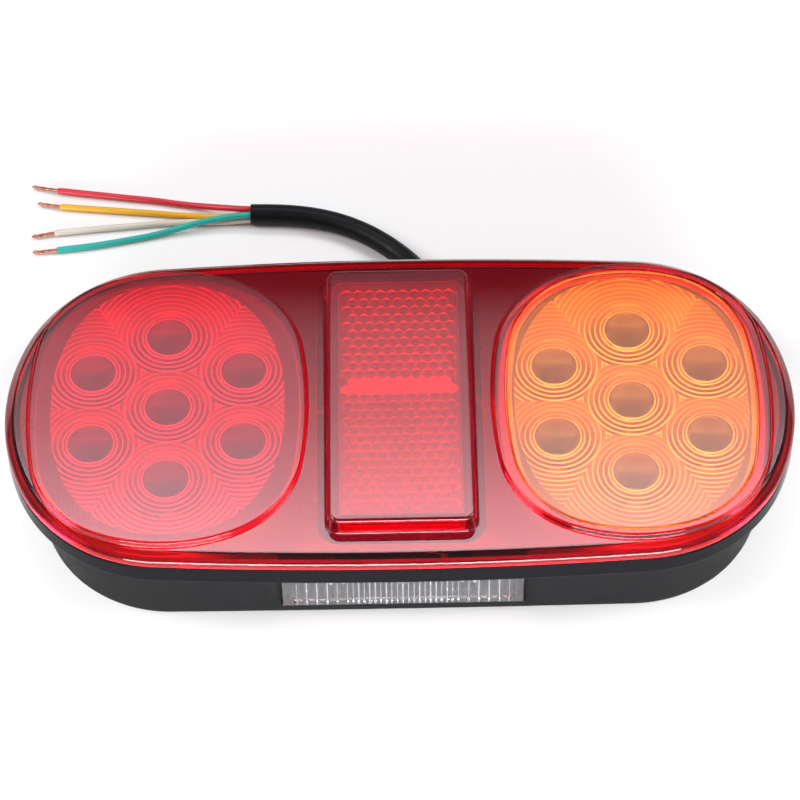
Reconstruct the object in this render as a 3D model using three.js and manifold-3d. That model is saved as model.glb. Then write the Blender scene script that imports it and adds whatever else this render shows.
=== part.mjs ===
// Trailer tail light: red and amber LED lamp with a reflex reflector, a number-plate lamp and a
// four-core lead.
// Millimetres, +Z up. The lamp lies on its flat back. The origin is the middle of the back, +X points to the
// amber end, and -Y is the side with the number-plate lamp.
import * as THREE from 'three';
import { mergeVertices } from 'three/addons/utils/BufferGeometryUtils.js';
import Module from 'manifold-3d';

const wasm = await Module();
wasm.setup();

// ---- driving dimensions -------------------------------------------------------------------------

const GAP = 0.3; // air gap kept between pieces that touch

// Plan outlines: half length, half width, and the radii of the long side, the end and the corner
// between them.
const LENS_PLAN = { a: 100.8, b: 48.5, long: 1000, end: 56, corner: 40 };
const BODY_PLAN = { a: 94.4, b: 42.3, long: 6000, end: 52, corner: 34 };
const WINDOW_PLAN = { a: 35.5, b: 43.1, long: 46, end: 120, corner: 28 };
const AMBER_PLAN = { a: 32.2, b: 41.2, long: 44, end: 116, corner: 26 };
const TRAY_PLAN = { a: 34, b: 42, long: 45, end: 118, corner: 27 };
const BOARD_PLAN = { a: 27.5, b: 36, long: 42, end: 100, corner: 20 };
const WINDOW_X = 59.1; // each window's centre lies this far from the lamp's middle

// Heights above the back face.
const FLOOR_TOP = 2.6;
const BACK_RECESS = 0.8;
const FLANGE_BOTTOM = 21.6;
const LEDGE_TOP = 24;
const FLANGE_TOP = 27.4;
const LENS_BOTTOM = FLANGE_TOP + GAP;
const LENS_WALL_TOP = 28.6;
const VALLEY_TOP = 31.4;
const WINDOW_TOP = 32.9;
const BLOCK_TOP = 36.2;
const BOARD_BOTTOM = 9.4;
const BOARD_TOP = 11;

// Thicknesses.
const BODY_WALL = 2.4;
const FLANGE_WALL = 2.6;
const LENS_WALL = 2.4;
const LENS_SKIN = 2.3;
const LEFT_WINDOW_WALL = 2;
const RIGHT_WINDOW_WALL = 0.6; // thinner, to leave room for the amber insert's lip
const BLOCK_WALL = 3;
const BLOCK_HOLLOW_CORNER = 1.8;

// Amber insert: a raised face with a lip that sits under the red lens.
const AMBER_EDGE = 0.5;
const AMBER_WALL = 1.8;
const AMBER_LIP_INSET = 1.1;
const AMBER_LIP_HEIGHT = 1.5;

const SHOULDER_WIDTH = 2.8; // the lens's rounded outer shoulder
const SEAL_OFFSET = 0.9;
const SEAL_WIDTH = 1;
const SEAL_HEIGHT = 0.9;

// LED layout in each window: one in the middle and six around it.
const LED_SPACING = 22.3;
const LED_RADIUS = 2.5;
const CUP_TOP_RADIUS = 9.9;
const CUP_BOTTOM_RADIUS = 3.3;
const CUP_BOTTOM = 13.5;
const CUP_SKIN = 0.9;
const TRAY_PLATE_BOTTOM = 27;
const TRAY_TOP = 28.2;
const TRAY_RIM = 1.2;

// Reflex reflector block in the middle of the lens.
const BLOCK = { a: 18.6, b: 39.8, corner: 3.2 };
const BLOCK_EDGE = 0.9;
const PRISM_PLATE = { a: 15.1, b: 36.3, corner: 1.5, thickness: 2.3 };
const PRISM_CAP = { a: 17.4, b: 38.6, corner: 2.5, thickness: 1.1, rim: 1.2 };

// Number-plate lamp in the -Y wall.
const PLATE_LENS = { halfLength: 30.5, bottom: 3.2, top: 15, proud: 0.3, skin: 2.2, lip: 1.6 };
const PLATE_BOARD = { halfLength: 26, bottom: 3.2, top: 14.8, y: -33.6, thickness: 1.6 };
const PLATE_POST = 2.5; // width of the housing posts at the ends of the plate lamp board
const PLATE_LED_PITCH = 17;

// Fastening from behind: two threaded inserts on the lamp's long centreline.
const INSERT_X = 60;
const INSERT_RADIUS = 3.6;
const INSERT_BORE = 2.1;
const INSERT_TOP = 7.6;
const BOSS_RADIUS = 6.5;
const BOSS_TOP = 8.9;
const PAD_RADIUS = 9;
const BACK_LAND = 8;

// Board screws sit in two corners of each LED board, resistors in the other two.
const SCREW_X = 18;
const SCREW_Y = 26;
const POST_RADIUS = 3;
const SCREW_RADIUS = 1.3;

// Lead.
const CABLE_DIAMETER = 5.7;
const CABLE_HOLE_RADIUS = 4.75;
const TIE_THICKNESS = 1;
const TIE_WIDTH = 2.5;
const WIRE_DIAMETER = 1.75;
const COPPER_DIAMETER = 1.1;
const EXIT = { x: 8, y: BODY_PLAN.b, z: 8 };

// Middle line of the grey-black sheath, from inside the housing to its cut end on the surface
// behind the lamp.
const SHEATH_ROUTE = [
  [8, 33.5, 8], [8, 38, 8], [8, 43, 8], [8, 48, 8], [8, 52, 7.9], [7.8, 56, 7.2], [7.1, 60, 5.9],
  [5.6, 64.2, 4.5], [3.1, 68.2, 3.4], [-0.3, 72.1, 2.95], [-4, 75.4, 2.88], [-8.6, 78.7, 2.86],
  [-14, 81.6, 2.86], [-20.3, 83.9, 2.86], [-27, 85.3, 2.86], [-33.5, 85.9, 2.86], [-39.8, 86.1, 2.86],
];

// The four cores, from the sheath's cut end to the end of their insulation, then the bare copper's far end.
const WIRES = [
  {
    name: 'red', colour: 0xd8202f, copperEnd: [-100.6, 99, 0.75],
    route: [
      [-40.4, 87.13, 3.9], [-44, 87.8, 3.45], [-48, 88.9, 2.6], [-52, 90.1, 1.7], [-56, 91.1, 1.1],
      [-60, 91.9, 0.92], [-66.5, 93.2, 0.9], [-73, 94.2, 0.9], [-80, 95.3, 0.9], [-87, 96.4, 0.9],
      [-93.3, 97.4, 0.9],
    ],
  },
  {
    name: 'yellow', colour: 0xf2b414, copperEnd: [-98.8, 92.9, 0.75],
    route: [
      [-40.4, 87.13, 1.82], [-43, 87.05, 1.5], [-46, 86.95, 1.05], [-50, 86.95, 0.9], [-55, 87.3, 0.9],
      [-60, 87.85, 0.9], [-66, 88.6, 0.9], [-73, 89.4, 0.9], [-80, 90.2, 0.9], [-86.5, 90.9, 0.9],
      [-92.5, 91.6, 0.9],
    ],
  },
  {
    name: 'white', colour: 0xe9e2d6, copperEnd: [-100, 81.2, 0.75],
    route: [
      [-40.4, 85.05, 1.82], [-43, 85.05, 1.5], [-46, 85.1, 1.05], [-50, 85.2, 0.9], [-55, 85.3, 0.9],
      [-60, 85.25, 0.9], [-66, 84.9, 0.9], [-73, 84.3, 0.9], [-80, 83.7, 0.9], [-87, 83, 0.9],
      [-93.8, 82.3, 0.9],
    ],
  },
  {
    name: 'green', colour: 0x23b5a4, copperEnd: [-99.5, 75.7, 0.75],
    route: [
      [-40.4, 85.05, 3.9], [-44, 84.9, 3.7], [-48, 84.6, 3.3], [-52, 84.1, 2.85], [-56, 83.3, 2.35],
      [-60, 82.4, 1.7], [-64, 81.5, 1.15], [-68, 80.6, 0.92], [-75, 79.1, 0.9], [-83, 77.6, 0.9],
      [-92.8, 76.3, 0.9],
    ],
  },
];

// Cores inside the housing, from the sheath's inner end to the boards.
const INNER_WIRES = [
  {
    core: 'red',
    route: [[6.2, 31.5, 9.2], [2, 27, 9], [-8, 20, 8], [-20, 13, 10], [-29, 7, 13.6], [-34, 5, 12.6]],
  },
  {
    core: 'green',
    route: [[6.2, 31.5, 6.8], [1, 26, 6], [-9, 15, 5.4], [-20, 5, 8], [-29, -3, 13.2], [-34, -5, 12.6]],
  },
  {
    core: 'yellow',
    route: [[9.8, 31.5, 9.2], [13, 26, 9], [19, 18, 9.4], [25, 9, 12], [30, 3, 13.8], [34, 0, 12.6]],
  },
  {
    core: 'white',
    route: [[9.8, 31.5, 6.8], [12, 25, 6], [12, 10, 5], [9, -10, 5], [6, -24, 6], [4, -31, 8]],
  },
];

const COLOURS = {
  blackPlastic: 0x232427,
  redPlastic: 0xb4101f,
  amberPlastic: 0xf08a24,
  clearPlastic: 0xdfe3e6,
  silver: 0xb9bcc2,
  board: 0xdedbd2,
  rubber: 0x1b1b1d,
  brass: 0xb58a3c,
  steel: 0x9a9da1,
  copper: 0xb56a48,
  ledResin: 0xe6e6ea,
  resistor: 0x6f8fae,
  capPlastic: 0x3a0d12,
  nylon: 0xd9d6cc,
};

// ---- helpers ------------------------------------------------------------------------------------

function toSolid(geometry) {
  const bare = geometry.index ? geometry.toNonIndexed() : geometry.clone();
  bare.deleteAttribute('normal');
  bare.deleteAttribute('uv');
  const merged = mergeVertices(bare, 1e-4);
  return new wasm.Manifold(new wasm.Mesh({
    numProp: 3,
    vertProperties: new Float32Array(merged.attributes.position.array),
    triVerts: new Uint32Array(merged.index.array),
  }));
}

function toGeometry(solid) {
  const mesh = solid.getMesh();
  const geometry = new THREE.BufferGeometry();
  geometry.setAttribute('position', new THREE.BufferAttribute(mesh.vertProperties, 3));
  geometry.setIndex(new THREE.BufferAttribute(mesh.triVerts, 1));
  geometry.computeVertexNormals();
  return geometry;
}

function joined(...solids) {
  return solids.reduce((sum, solid) => sum.add(solid));
}

function moved(solid, x, y, z = 0) {
  return solid.translate([x, y, z]);
}

// The same plan, drawn in by a distance all round.
function inset(plan, distance) {
  return {
    a: plan.a - distance,
    b: plan.b - distance,
    long: plan.long - distance,
    end: plan.end - distance,
    corner: plan.corner - distance,
  };
}

// Centre of the corner arc that runs smoothly into both the long side's arc and the end's arc.
function cornerCentre({ a, b, long, end, corner }) {
  const longCentre = new THREE.Vector2(0, b - long);
  const endCentre = new THREE.Vector2(a - end, 0);
  const span = endCentre.clone().sub(longCentre);
  const distance = span.length();
  const along = ((long - corner) ** 2 - (end - corner) ** 2 + distance ** 2) / (2 * distance);
  const aside = Math.sqrt((long - corner) ** 2 - along ** 2);
  const unit = span.normalize();
  const foot = longCentre.clone().addScaledVector(unit, along);
  const options = [1, -1].map((side) => new THREE.Vector2(
    foot.x + side * aside * unit.y,
    foot.y - side * aside * unit.x,
  ));
  return options.reduce((best, option) => (option.x + option.y > best.x + best.y ? option : best));
}

function arc(centreX, centreY, radius, from, to, steps) {
  return Array.from({ length: steps }, (_, i) => {
    const angle = from + ((to - from) * i) / steps;
    return new THREE.Vector2(centreX + radius * Math.cos(angle), centreY + radius * Math.sin(angle));
  });
}

// One quarter of the outline is three arcs; the other quarters mirror it.
function planPoints(plan, steps = { end: 2, corner: 6, long: 2 }) {
  const centre = cornerCentre(plan);
  const endX = plan.a - plan.end;
  const longY = plan.b - plan.long;
  const endAngle = Math.atan2(centre.y, centre.x - endX);
  const longAngle = Math.atan2(centre.y - longY, centre.x);
  const quarter = [
    ...arc(endX, 0, plan.end, 0, endAngle, steps.end),
    ...arc(centre.x, centre.y, plan.corner, endAngle, longAngle, steps.corner),
    ...arc(0, longY, plan.long, longAngle, Math.PI / 2, steps.long),
  ];
  const top = new THREE.Vector2(0, plan.b);
  const right = quarter.slice(1);
  return [
    ...quarter,
    top,
    ...right.toReversed().map((p) => new THREE.Vector2(-p.x, p.y)),
    new THREE.Vector2(-plan.a, 0),
    ...right.map((p) => new THREE.Vector2(-p.x, -p.y)),
    new THREE.Vector2(0, -plan.b),
    ...right.toReversed().map((p) => new THREE.Vector2(p.x, -p.y)),
  ];
}

function roundedRectangle(halfX, halfY, radius, steps = 3) {
  const x = halfX - radius;
  const y = halfY - radius;
  const quarterTurn = Math.PI / 2;
  const corners = [[x, y], [-x, y], [-x, -y], [x, -y]];
  return corners.flatMap(([cx, cy], i) => [
    ...arc(cx, cy, radius, i * quarterTurn, (i + 1) * quarterTurn, steps),
    ...arc(cx, cy, radius, (i + 1) * quarterTurn, (i + 1) * quarterTurn, 1),
  ]);
}

function slab(points, bottom, top) {
  const shape = new THREE.Shape(points);
  const geometry = new THREE.ExtrudeGeometry(shape, { depth: top - bottom, bevelEnabled: false });
  geometry.translate(0, 0, bottom);
  return toSolid(geometry);
}

// A slab whose top edge is rounded. points is the outline at the top, and the wall stands edgeWidth
// outside it.
function roundedSlab(points, bottom, top, edgeWidth, edgeHeight, steps = 1) {
  const geometry = new THREE.ExtrudeGeometry(new THREE.Shape(points), {
    depth: top - bottom,
    bevelEnabled: true,
    bevelSize: edgeWidth,
    bevelThickness: edgeHeight,
    bevelSegments: steps,
  });
  geometry.translate(0, 0, bottom - edgeHeight);
  const lowerEdge = box(-200, 200, -200, 200, bottom - 2 * edgeHeight - 1, bottom);
  return toSolid(geometry).subtract(lowerEdge);
}

function box(x0, x1, y0, y1, z0, z1) {
  const geometry = new THREE.BoxGeometry(x1 - x0, y1 - y0, z1 - z0);
  geometry.translate((x0 + x1) / 2, (y0 + y1) / 2, (z0 + z1) / 2);
  return toSolid(geometry);
}

function lathe(profile, segments = 20) {
  const points = profile.map(([radius, height]) => new THREE.Vector2(radius, height));
  const geometry = new THREE.LatheGeometry(points, segments);
  geometry.rotateX(Math.PI / 2);
  return geometry;
}

// A solid turned about a vertical line. The profile lists radius and height, from the axis round to the axis.
function turned(profile, segments) {
  return toSolid(lathe(profile, segments));
}

function cylinder(radius, bottom, top, segments = 20) {
  return turned([[0, bottom], [radius, bottom], [radius, top], [0, top]], segments);
}

function tube(route, diameter, sides, stepLength) {
  const curve = new THREE.CatmullRomCurve3(route.map((p) => new THREE.Vector3(...p)), false, 'centripetal');
  const radius = diameter / 2;
  const section = new THREE.Shape(arc(0, 0, radius, 0, 2 * Math.PI, sides));
  const steps = Math.max(3, Math.round(curve.getLength() / stepLength));
  return toSolid(new THREE.ExtrudeGeometry(section, { extrudePath: curve, steps, bevelEnabled: false }));
}

const lamp = new THREE.Group();
lamp.name = 'trailer_tail_light';

function addMesh(name, solid, colour, roughness, metalness = 0, parent = lamp) {
  const material = new THREE.MeshStandardMaterial({ color: colour, roughness, metalness });
  const mesh = new THREE.Mesh(toGeometry(solid), material);
  mesh.name = name;
  parent.add(mesh);
  return mesh;
}

const LED_PLACES = [
  [0, 0],
  ...Array.from({ length: 6 }, (_, i) => {
    const angle = Math.PI / 2 + (i * Math.PI) / 3;
    return [LED_SPACING * Math.cos(angle), LED_SPACING * Math.sin(angle)];
  }),
];
const SIDES = [['left', -1], ['right', 1]];

// ---- rear housing -------------------------------------------------------------------------------

function buildHousing() {
  const lowerBody = slab(planPoints(BODY_PLAN), 0, LEDGE_TOP);
  const flange = slab(planPoints(LENS_PLAN), FLANGE_BOTTOM, FLANGE_TOP);
  const cavity = slab(planPoints(inset(BODY_PLAN, BODY_WALL)), FLOOR_TOP, LEDGE_TOP + 1);
  const upperCavity = slab(planPoints(inset(LENS_PLAN, FLANGE_WALL)), LEDGE_TOP, FLANGE_TOP + 1);
  let housing = joined(lowerBody, flange).subtract(cavity).subtract(upperCavity);

  const grooveFloor = FLANGE_TOP - SEAL_HEIGHT - GAP;
  const grooveOuterPlan = inset(LENS_PLAN, SEAL_OFFSET - GAP);
  const grooveInnerPlan = inset(LENS_PLAN, SEAL_OFFSET + SEAL_WIDTH + GAP);
  const grooveOuter = slab(planPoints(grooveOuterPlan), grooveFloor, FLANGE_TOP + 1);
  const grooveInner = slab(planPoints(grooveInnerPlan), grooveFloor - GAP, FLANGE_TOP + 2);
  housing = housing.subtract(grooveOuter.subtract(grooveInner));

  const backRecess = slab(planPoints(inset(BODY_PLAN, BACK_LAND)), -1, BACK_RECESS);
  const pad = cylinder(PAD_RADIUS, -2, BACK_RECESS + 1, 24);
  const pads = joined(moved(pad, -INSERT_X, 0), moved(pad, INSERT_X, 0));
  housing = housing.subtract(backRecess.subtract(pads));

  for (const side of [-1, 1]) {
    const boss = cylinder(BOSS_RADIUS, BACK_RECESS + 0.5, BOSS_TOP, 20);
    const insertHole = cylinder(INSERT_RADIUS + GAP, -1, INSERT_TOP + GAP, 16);
    housing = housing.add(moved(boss, side * INSERT_X, 0));
    housing = housing.subtract(moved(insertHole, side * INSERT_X, 0));
    for (const corner of [-1, 1]) {
      const x = side * WINDOW_X + corner * SCREW_X;
      const y = corner * SCREW_Y;
      housing = housing.add(moved(cylinder(POST_RADIUS, FLOOR_TOP - 0.5, BOARD_BOTTOM - GAP, 12), x, y));
      housing = housing.subtract(moved(cylinder(SCREW_RADIUS + GAP, FLOOR_TOP + 0.8, BOARD_TOP, 8), x, y));
    }
    const postX = side * (PLATE_BOARD.halfLength + GAP + PLATE_POST / 2);
    housing = housing.add(box(
      postX - PLATE_POST / 2, postX + PLATE_POST / 2, PLATE_BOARD.y - 3, PLATE_BOARD.y + 3,
      FLOOR_TOP - 0.5, PLATE_BOARD.top,
    ));
  }

  const { halfLength, bottom, top } = PLATE_LENS;
  const plateOpening = box(
    -halfLength - GAP, halfLength + GAP, -BODY_PLAN.b - 1, -BODY_PLAN.b + BODY_WALL + 1,
    bottom - GAP, top + GAP,
  );
  const holeProfile = [[0, 0], [CABLE_HOLE_RADIUS, 0], [CABLE_HOLE_RADIUS, 8], [0, 8]];
  const cableHole = toSolid(lathe(holeProfile, 20).rotateX(-Math.PI / 2));
  housing = housing.subtract(plateOpening);
  return housing.subtract(moved(cableHole, EXIT.x, EXIT.y - BODY_WALL - 2, EXIT.z));
}

addMesh('rear_housing', buildHousing(), COLOURS.blackPlastic, 0.42);

// ---- lens, amber insert and seal ----------------------------------------------------------------

function buildRedLens() {
  const wall = slab(planPoints(LENS_PLAN), LENS_BOTTOM, LENS_WALL_TOP);
  const face = roundedSlab(
    planPoints(inset(LENS_PLAN, SHOULDER_WIDTH)), LENS_WALL_TOP - 0.5, VALLEY_TOP,
    SHOULDER_WIDTH, VALLEY_TOP - LENS_WALL_TOP, 2,
  );
  const blockEdge = roundedRectangle(BLOCK.a - BLOCK_EDGE, BLOCK.b - BLOCK_EDGE, BLOCK.corner - BLOCK_EDGE);
  const block = roundedSlab(blockEdge, VALLEY_TOP - 1, BLOCK_TOP, BLOCK_EDGE, BLOCK_EDGE);
  let lens = joined(wall, face, block);
  const insidePlan = inset(LENS_PLAN, LENS_WALL);
  lens = lens.subtract(slab(planPoints(insidePlan), LENS_BOTTOM - 1, VALLEY_TOP - LENS_SKIN));
  const hollowPlan = roundedRectangle(BLOCK.a - BLOCK_WALL, BLOCK.b - BLOCK_WALL, BLOCK_HOLLOW_CORNER);
  lens = lens.subtract(slab(hollowPlan, LENS_BOTTOM - 1, BLOCK_TOP - LENS_SKIN));
  for (const [, side] of SIDES) {
    const raised = roundedSlab(
      planPoints(inset(WINDOW_PLAN, 1)), VALLEY_TOP - LENS_SKIN, WINDOW_TOP, 1, 1,
    );
    lens = lens.add(moved(raised, side * WINDOW_X, 0));
    const windowInside = inset(WINDOW_PLAN, side < 0 ? LEFT_WINDOW_WALL : RIGHT_WINDOW_WALL);
    const hollow = slab(planPoints(windowInside), LENS_BOTTOM - 1, WINDOW_TOP - LENS_SKIN);
    lens = lens.subtract(moved(hollow, side * WINDOW_X, 0));
  }
  const amberOpening = slab(planPoints(AMBER_PLAN), LENS_BOTTOM, WINDOW_TOP + 1);
  return lens.subtract(moved(amberOpening, WINDOW_X, 0));
}

function buildAmberLens() {
  const lipTop = WINDOW_TOP - LENS_SKIN - GAP;
  const facePlan = inset(AMBER_PLAN, GAP + AMBER_EDGE);
  const face = roundedSlab(planPoints(facePlan), lipTop - 1, WINDOW_TOP - GAP, AMBER_EDGE, AMBER_EDGE);
  const lip = slab(planPoints(inset(WINDOW_PLAN, AMBER_LIP_INSET)), lipTop - AMBER_LIP_HEIGHT, lipTop);
  const hollow = slab(planPoints(inset(AMBER_PLAN, AMBER_WALL)), lipTop - 2, lipTop - 0.2);
  return moved(joined(face, lip).subtract(hollow), WINDOW_X, 0);
}

function buildSeal() {
  const outer = slab(planPoints(inset(LENS_PLAN, SEAL_OFFSET)), FLANGE_TOP - SEAL_HEIGHT, FLANGE_TOP);
  const inner = slab(planPoints(inset(LENS_PLAN, SEAL_OFFSET + SEAL_WIDTH)), FLANGE_TOP - 2, FLANGE_TOP + 1);
  return outer.subtract(inner);
}

addMesh('red_lens_cover', buildRedLens(), COLOURS.redPlastic, 0.08);
addMesh('amber_lens_insert', buildAmberLens(), COLOURS.amberPlastic, 0.08);
addMesh('lens_seal', buildSeal(), COLOURS.rubber, 0.8);

// ---- reflex reflector ---------------------------------------------------------------------------

const prismTop = BLOCK_TOP - LENS_SKIN - GAP;
const prismBottom = prismTop - PRISM_PLATE.thickness;
const capTop = VALLEY_TOP - LENS_SKIN - GAP;
const prismOutline = roundedRectangle(PRISM_PLATE.a, PRISM_PLATE.b, PRISM_PLATE.corner);
addMesh('reflex_prism_plate', slab(prismOutline, prismBottom, prismTop), COLOURS.redPlastic, 0.1);

function buildPrismCap() {
  const plateOutline = roundedRectangle(PRISM_CAP.a, PRISM_CAP.b, PRISM_CAP.corner);
  const rimOutline = roundedRectangle(PRISM_PLATE.a - 0.1, PRISM_PLATE.b - 0.1, PRISM_PLATE.corner - 0.1);
  const insideOutline = roundedRectangle(
    PRISM_PLATE.a - 0.1 - PRISM_CAP.rim, PRISM_PLATE.b - 0.1 - PRISM_CAP.rim, 0.6,
  );
  const plate = slab(plateOutline, capTop - PRISM_CAP.thickness, capTop);
  const rim = slab(rimOutline, capTop - 0.5, prismBottom - GAP);
  return joined(plate, rim).subtract(slab(insideOutline, capTop, prismBottom + 1));
}

addMesh('reflex_backing_cap', buildPrismCap(), COLOURS.capPlastic, 0.5);

// ---- reflector trays, boards, LEDs --------------------------------------------------------------

function cone(topRadius, bottomRadius, bottom, top) {
  return turned([[0, bottom], [bottomRadius, bottom], [topRadius, top], [0, top]], 14);
}

function buildTray() {
  let tray = slab(planPoints(TRAY_PLAN), LEDGE_TOP + GAP, TRAY_TOP);
  tray = tray.subtract(slab(planPoints(inset(TRAY_PLAN, TRAY_RIM)), LEDGE_TOP - 1, TRAY_PLATE_BOTTOM));
  for (const [x, y] of LED_PLACES) {
    const cup = cone(CUP_TOP_RADIUS + CUP_SKIN, CUP_BOTTOM_RADIUS + CUP_SKIN, CUP_BOTTOM, TRAY_TOP);
    tray = tray.add(moved(cup, x, y));
  }
  const slope = (CUP_TOP_RADIUS - CUP_BOTTOM_RADIUS) / (TRAY_TOP - CUP_BOTTOM);
  for (const [x, y] of LED_PLACES) {
    const opening = cone(CUP_TOP_RADIUS + slope, CUP_BOTTOM_RADIUS - slope, CUP_BOTTOM - 1, TRAY_TOP + 1);
    tray = tray.subtract(moved(opening, x, y));
  }
  return tray;
}

function buildBoard() {
  let board = slab(planPoints(BOARD_PLAN, { end: 1, corner: 4, long: 1 }), BOARD_BOTTOM, BOARD_TOP);
  for (const corner of [-1, 1]) {
    const hole = cylinder(SCREW_RADIUS + GAP, BOARD_BOTTOM - 1, BOARD_TOP + 1, 8);
    board = board.subtract(moved(hole, corner * SCREW_X, corner * SCREW_Y));
  }
  return board;
}

const LED_PROFILE = [
  [0, 0], [LED_RADIUS + 0.4, 0], [LED_RADIUS + 0.4, 1], [LED_RADIUS, 1], [LED_RADIUS, 6.2],
  [LED_RADIUS * 0.6, 8], [0, 8.6],
];
const SCREW_PROFILE = [[0, -6.2], [SCREW_RADIUS, -5.6], [SCREW_RADIUS, 0], [2.8, 0], [2.8, 1], [0, 2]];
const RESISTOR_PROFILE = [
  [0, -4.6], [0.35, -4.6], [0.35, -3.2], [1.2, -2.8], [1.2, 2.8], [0.35, 3.2], [0.35, 4.6], [0, 4.6],
];

for (const [sideName, side] of SIDES) {
  const unit = new THREE.Group();
  unit.position.set(side * WINDOW_X, 0, 0);
  lamp.add(unit);
  addMesh(`${sideName}_reflector_tray`, buildTray(), COLOURS.silver, 0.2, 0.9, unit);
  addMesh(`${sideName}_led_board`, buildBoard(), COLOURS.board, 0.5, 0, unit);
  LED_PLACES.forEach(([x, y], i) => {
    const resin = turned(LED_PROFILE, 10);
    const led = addMesh(`${sideName}_led_${i + 1}`, resin, COLOURS.ledResin, 0.15, 0, unit);
    led.position.set(x, y, BOARD_TOP + GAP);
  });
  [-1, 1].forEach((corner, i) => {
    const screwBody = turned(SCREW_PROFILE, 10);
    const screw = addMesh(`${sideName}_board_screw_${i + 1}`, screwBody, COLOURS.steel, 0.35, 1, unit);
    screw.position.set(corner * SCREW_X, corner * SCREW_Y, BOARD_TOP + GAP);
    const bead = turned(RESISTOR_PROFILE, 8);
    const resistor = addMesh(`${sideName}_resistor_${i + 1}`, bead, COLOURS.resistor, 0.5, 0, unit);
    resistor.rotation.y = Math.PI / 2;
    resistor.position.set(corner * (SCREW_X - 4), -corner * (SCREW_Y + 1), BOARD_TOP + GAP + 1.25);
  });
}

// ---- number-plate lamp --------------------------------------------------------------------------

function buildPlateLens() {
  const { halfLength, bottom, top, proud, skin, lip } = PLATE_LENS;
  const front = -BODY_PLAN.b - proud;
  const inner = -BODY_PLAN.b + BODY_WALL + GAP;
  const face = box(-halfLength, halfLength, front, inner + 0.5, bottom, top);
  const flange = box(-halfLength - lip, halfLength + lip, inner, inner + 1.2, bottom, top + lip);
  const hollow = box(-halfLength + 1.5, halfLength - 1.5, front + skin, inner + 3, bottom + 1.5, top - 1.5);
  return joined(face, flange).subtract(hollow);
}

addMesh('plate_lamp_lens', buildPlateLens(), COLOURS.clearPlastic, 0.15);
addMesh(
  'plate_lamp_board',
  box(
    -PLATE_BOARD.halfLength, PLATE_BOARD.halfLength, PLATE_BOARD.y, PLATE_BOARD.y + PLATE_BOARD.thickness,
    PLATE_BOARD.bottom, PLATE_BOARD.top,
  ),
  COLOURS.board, 0.5,
);
[-1, 0, 1].forEach((place, i) => {
  const short = LED_PROFILE.map(([radius, height]) => [radius, height * 0.55]);
  const led = addMesh(`plate_led_${i + 1}`, turned(short, 10), COLOURS.ledResin, 0.15);
  led.rotation.x = Math.PI / 2;
  led.position.set(place * PLATE_LED_PITCH, PLATE_BOARD.y - GAP, (PLATE_BOARD.bottom + PLATE_BOARD.top) / 2);
});

// ---- threaded inserts ---------------------------------------------------------------------------

const INSERT_BOTTOM = 0.2;
const INSERT_GROOVE = 0.5;
const INSERT_PROFILE = [
  [INSERT_BORE, INSERT_BOTTOM],
  [INSERT_RADIUS, INSERT_BOTTOM],
  [INSERT_RADIUS, 3.3],
  [INSERT_RADIUS - INSERT_GROOVE, 3.6],
  [INSERT_RADIUS - INSERT_GROOVE, 4.3],
  [INSERT_RADIUS, 4.6],
  [INSERT_RADIUS, INSERT_TOP],
  [INSERT_BORE, INSERT_TOP],
  [INSERT_BORE, INSERT_BOTTOM],
];
for (const [sideName, side] of SIDES) {
  const insert = moved(turned(INSERT_PROFILE, 16), side * INSERT_X, 0);
  addMesh(`${sideName}_threaded_insert`, insert, COLOURS.brass, 0.35, 1);
}

// ---- lead ---------------------------------------------------------------------------------------

// Rubber grommet: an inner lip, a neck through the wall, an outer collar and a tapered boot round the cable.
function buildGrommet() {
  const bore = CABLE_DIAMETER / 2 + GAP;
  const inside = -BODY_WALL - GAP;
  const profile = [
    [bore, inside - 1.6], [4.8, inside - 1.6], [5, inside - 1.2], [5, inside], [4.4, inside], [4.4, GAP],
    [6.4, GAP], [6.4, 1.9], [5.9, 2.4], [5, 2.6], [4.2, 9], [3.9, 9.4], [bore, 9.4], [bore, inside - 1.6],
  ];
  const solid = toSolid(lathe(profile, 16).rotateX(-Math.PI / 2));
  return moved(solid, EXIT.x, EXIT.y, EXIT.z);
}

// Nylon tie round the sheath just inside the wall, so that a pull on the lead doesn't reach the boards.
function buildCableTie() {
  const bore = CABLE_DIAMETER / 2 + GAP;
  const bandProfile = [
    [bore, 0], [bore + TIE_THICKNESS, 0], [bore + TIE_THICKNESS, TIE_WIDTH], [bore, TIE_WIDTH], [bore, 0],
  ];
  const band = toSolid(lathe(bandProfile, 14).rotateX(-Math.PI / 2));
  const head = box(-2, 2, -0.4, 2.9, bore + 0.6, bore + 3.4);
  return moved(band.add(head), EXIT.x, EXIT.y - 8, EXIT.z);
}

addMesh('cable_grommet', buildGrommet(), COLOURS.rubber, 0.75);
addMesh('cable_tie', buildCableTie(), COLOURS.nylon, 0.5);
addMesh('cable_sheath', tube(SHEATH_ROUTE, CABLE_DIAMETER, 12, 6), COLOURS.rubber, 0.55);

for (const wire of WIRES) {
  addMesh(`wire_${wire.name}`, tube(wire.route, WIRE_DIAMETER, 8, 4.5), wire.colour, 0.4);
  const from = new THREE.Vector3(...wire.route.at(-1));
  const to = new THREE.Vector3(...wire.copperEnd);
  const start = from.clone().addScaledVector(to.clone().sub(from).normalize(), GAP);
  addMesh(
    `copper_end_${wire.name}`,
    tube([start.toArray(), from.lerp(to, 0.5).toArray(), wire.copperEnd], COPPER_DIAMETER, 8, 3),
    COLOURS.copper, 0.35, 1,
  );
}
for (const { core, route } of INNER_WIRES) {
  const { colour } = WIRES.find(({ name }) => name === core);
  addMesh(`inner_wire_${core}`, tube(route, WIRE_DIAMETER, 6, 7), colour, 0.4);
}

export default lamp;
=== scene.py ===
import math

import bmesh
import bpy
from mathutils import Matrix, Quaternion, Vector


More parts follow.
